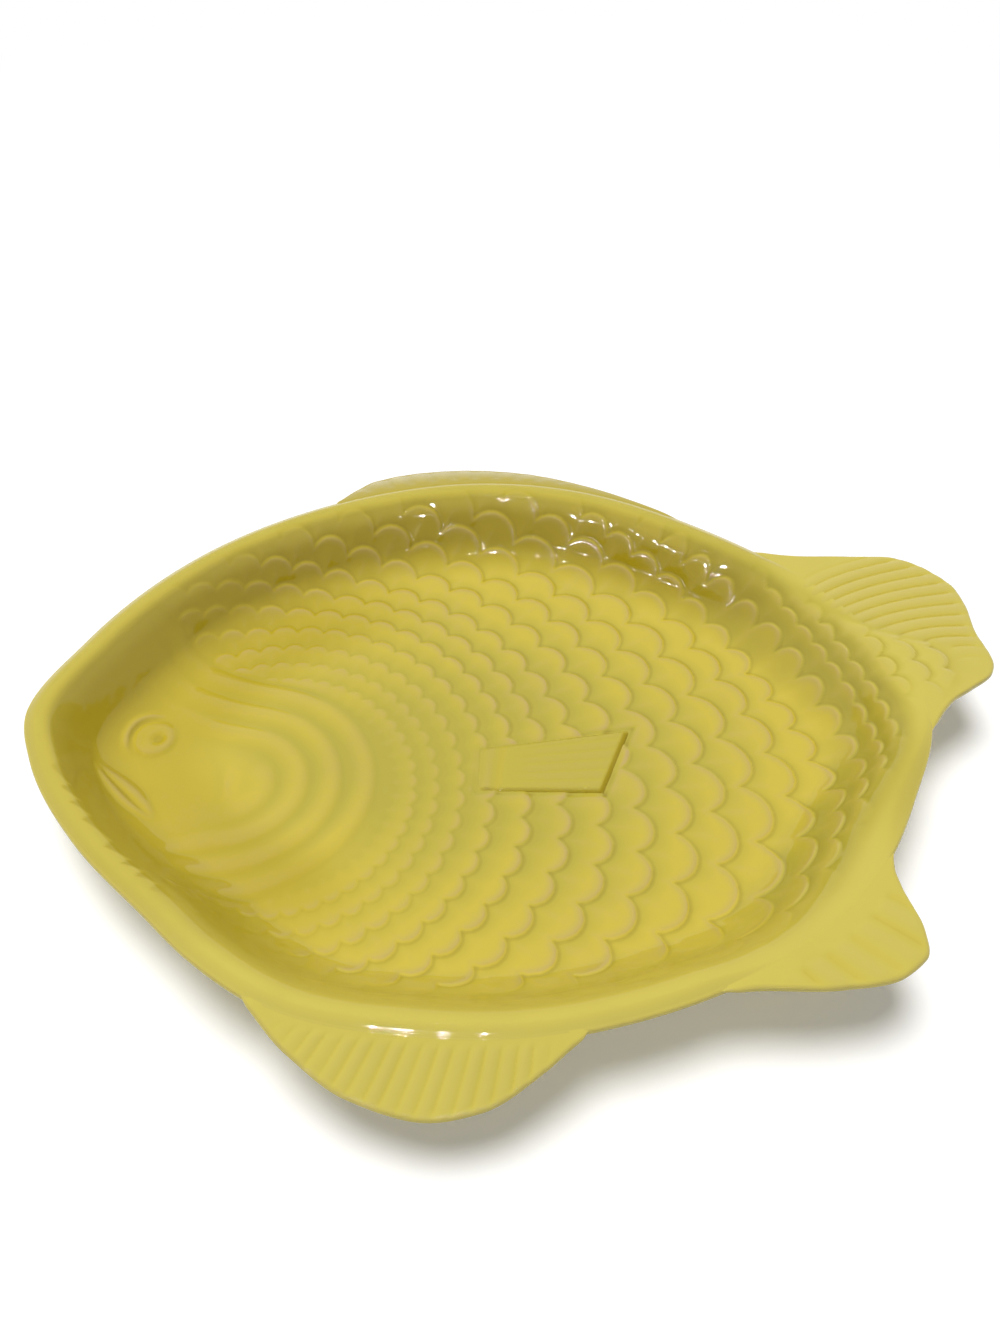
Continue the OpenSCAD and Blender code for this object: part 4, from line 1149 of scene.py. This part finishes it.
# The dorsal fin takes painted shade all over
ride(make_fin("dorsal_blade", DORSAL_SHAPE, reach=18.0, drop=7.0, lap=4.0,
              rays=even_rays(DORSAL_SHAPE, 18, 2, 1), ray_height=0.5, sharpness=1.6, shade_share=0.9),
     "fin_glaze", "dorsal_fin")
ride(make_fin("pelvic_blade", PELVIC_SHAPE, reach=20.0, drop=8.0, lap=4.0,
              rays=even_rays(PELVIC_SHAPE, 24, 0, 0, 0.12), ray_height=0.6, sharpness=1.1, bow=1.0),
     "fin_glaze", "pelvic_fin")
ride(make_fin("anal_blade", ANAL_SHAPE, reach=25.0, drop=2.0, lap=6.0,
              rays=even_rays(ANAL_SHAPE, 9, 3, 1), ray_height=0.8, sharpness=1.6),
     "fin_glaze", "anal_fin")
ride(make_fin("tail_blade", TAIL_SHAPE, reach=48.9, drop=2.0, lap=7.0,
              rays=tail_rays, ray_height=1.0, sharpness=0.8, contrast=1.8, step=0.1),
     "fin_glaze", "tail_fin")
ride(make_pectoral(), "relief_glaze", "pectoral_fin")
ride(make_foot(), "bare_foot", "foot_ring")

# Studio: pale floor, a soft lamp above that lights the platter, and small lamps that only show in its glaze
FLOOR_SIZE = 6.0
FLOOR_GLOW = 0.2
SKY_LIGHT = 0.14
# The floor turns white from this distance on, over this length
WHITE_FROM, WHITE_OVER = 0.4, 0.5
# Small lamps: name, place, size and power
SMALL_LAMPS = [("front_lamp", (-0.35, -1.3, 0.75), 0.03, 2.0), ("low_lamp", (0.15, -1.6, 0.5), 0.03, 6.0),
               ("left_lamp", (-1.1, -1.3, 0.45), 0.03, 6.0), ("far_left_lamp", (-1.5, -1.0, 0.4), 0.03, 6.0),
               ("row_lamp_0", (-0.51, -0.97, 1.19), 0.014, 1.0),
               ("row_lamp_1", (-0.44, -0.98, 1.2), 0.014, 1.2),
               ("row_lamp_2", (-0.31, -1.01, 1.21), 0.014, 2.4),
               ("row_lamp_3", (-0.13, -1.04, 1.22), 0.014, 1.4)]


def seen_ray(wire):
    """1 for rays that show the background itself."""
    rays = [wire.node("ShaderNodeLightPath", output="Is " + kind + " Ray")
            for kind in ("Camera", "Glossy", "Transmission")]
    return (rays[0] + rays[1] + rays[2]).clamped()


def studio_floor():
    material, wire = new_material("studio_floor")
    shown_ray = seen_ray(wire)
    paper = wire.node("ShaderNodeBsdfDiffuse", None, {"Color": (0.9, 0.9, 0.9, 1)})
    glow = wire.node("ShaderNodeEmission", None, {"Color": (1, 1, 1, 1), "Strength": FLOOR_GLOW})
    lit = wire.node("ShaderNodeAddShader", None, {0: paper, 1: glow})
    place = wire.node("ShaderNodeTexCoord", output="Object")
    away = wire.node("ShaderNodeVectorMath", {"operation": "LENGTH"}, {0: place}, output="Value")
    white = wire.node("ShaderNodeEmission", None, {"Color": (1, 1, 1, 1), "Strength": 1.0})
    distant = ((away - WHITE_FROM) * (1 / WHITE_OVER)).clamped()
    paler = wire.node("ShaderNodeMixShader", None, {0: distant, 1: lit, 2: white})
    shown = wire.node("ShaderNodeMixShader", None, {0: shown_ray, 1: paper, 2: paler})
    wire.node("ShaderNodeOutputMaterial", None, {"Surface": shown})
    half = FLOOR_SIZE / 2
    mesh = bpy.data.meshes.new("studio_floor")
    corners = [(-half, -half, 0), (half, -half, 0), (half, half, 0), (-half, half, 0)]
    mesh.from_pydata(corners, [], [(0, 1, 2, 3)])
    mesh.materials.append(material)
    obj = linked("studio_floor", mesh)


def area_light(name, place, size, power, diffuse=True, glossy=True):
    """Round lamp turned to the platter. It lights the glaze, shows in it as a reflection, or both."""
    data = bpy.data.lights.new(name, "AREA")
    data.shape = "DISK"
    data.size = size
    data.energy = power
    obj = linked(name, data)
    obj.location = place
    obj.visible_diffuse = diffuse
    obj.visible_glossy = glossy
    ray = -np.array(place, float)
    level = math.hypot(ray[0], ray[1])
    heading = math.atan2(ray[1], ray[0]) - math.pi / 2
    obj.rotation_euler = (math.pi / 2 + math.atan2(ray[2], level), 0, heading)


def studio_world():
    world = bpy.data.worlds.new("studio")
    bpy.context.scene.world = world
    world.use_nodes = True
    tree = world.node_tree
    tree.nodes.clear()
    wire = Wire(tree, None)
    path = seen_ray(wire)
    sky = wire.node("ShaderNodeBackground", None, {"Color": (1, 1, 1, 1), "Strength": SKY_LIGHT})
    white = wire.node("ShaderNodeBackground", None, {"Color": (1, 1, 1, 1), "Strength": 1.0})
    shown = wire.node("ShaderNodeMixShader", None, {0: path, 1: sky, 2: white})
    wire.node("ShaderNodeOutputWorld", None, {"Surface": shown})


studio_floor()
studio_world()
area_light("overhead", (-0.35, 0.15, 3.0), 1.4, 85.0, glossy=False)
for name, place, size, power in SMALL_LAMPS:
    area_light(name, place, size, power, diffuse=False)

# Camera at the photograph's angle, with the frame taken as 1000 by 1333 pixels
FRAME_TALL = 1333
FOCAL_PIXELS = 1050
SENSOR = 36.0
CAMERA_PLACE = (-38.1 * MM, -247.9 * MM, 332.4 * MM)
CAMERA_TILT = 48.0
CAMERA_HEADING = 6.52
camera_data = bpy.data.cameras.new("camera")
camera_data.sensor_fit = "VERTICAL"
camera_data.sensor_height = SENSOR
camera_data.lens = SENSOR * FOCAL_PIXELS / FRAME_TALL
camera_data.clip_start = 0.01
camera = linked("camera", camera_data)
camera.location = CAMERA_PLACE
camera.rotation_euler = (math.radians(90 - CAMERA_TILT), 0, math.radians(-CAMERA_HEADING))
bpy.context.scene.camera = camera
bpy.context.scene.view_settings.view_transform = "Standard"
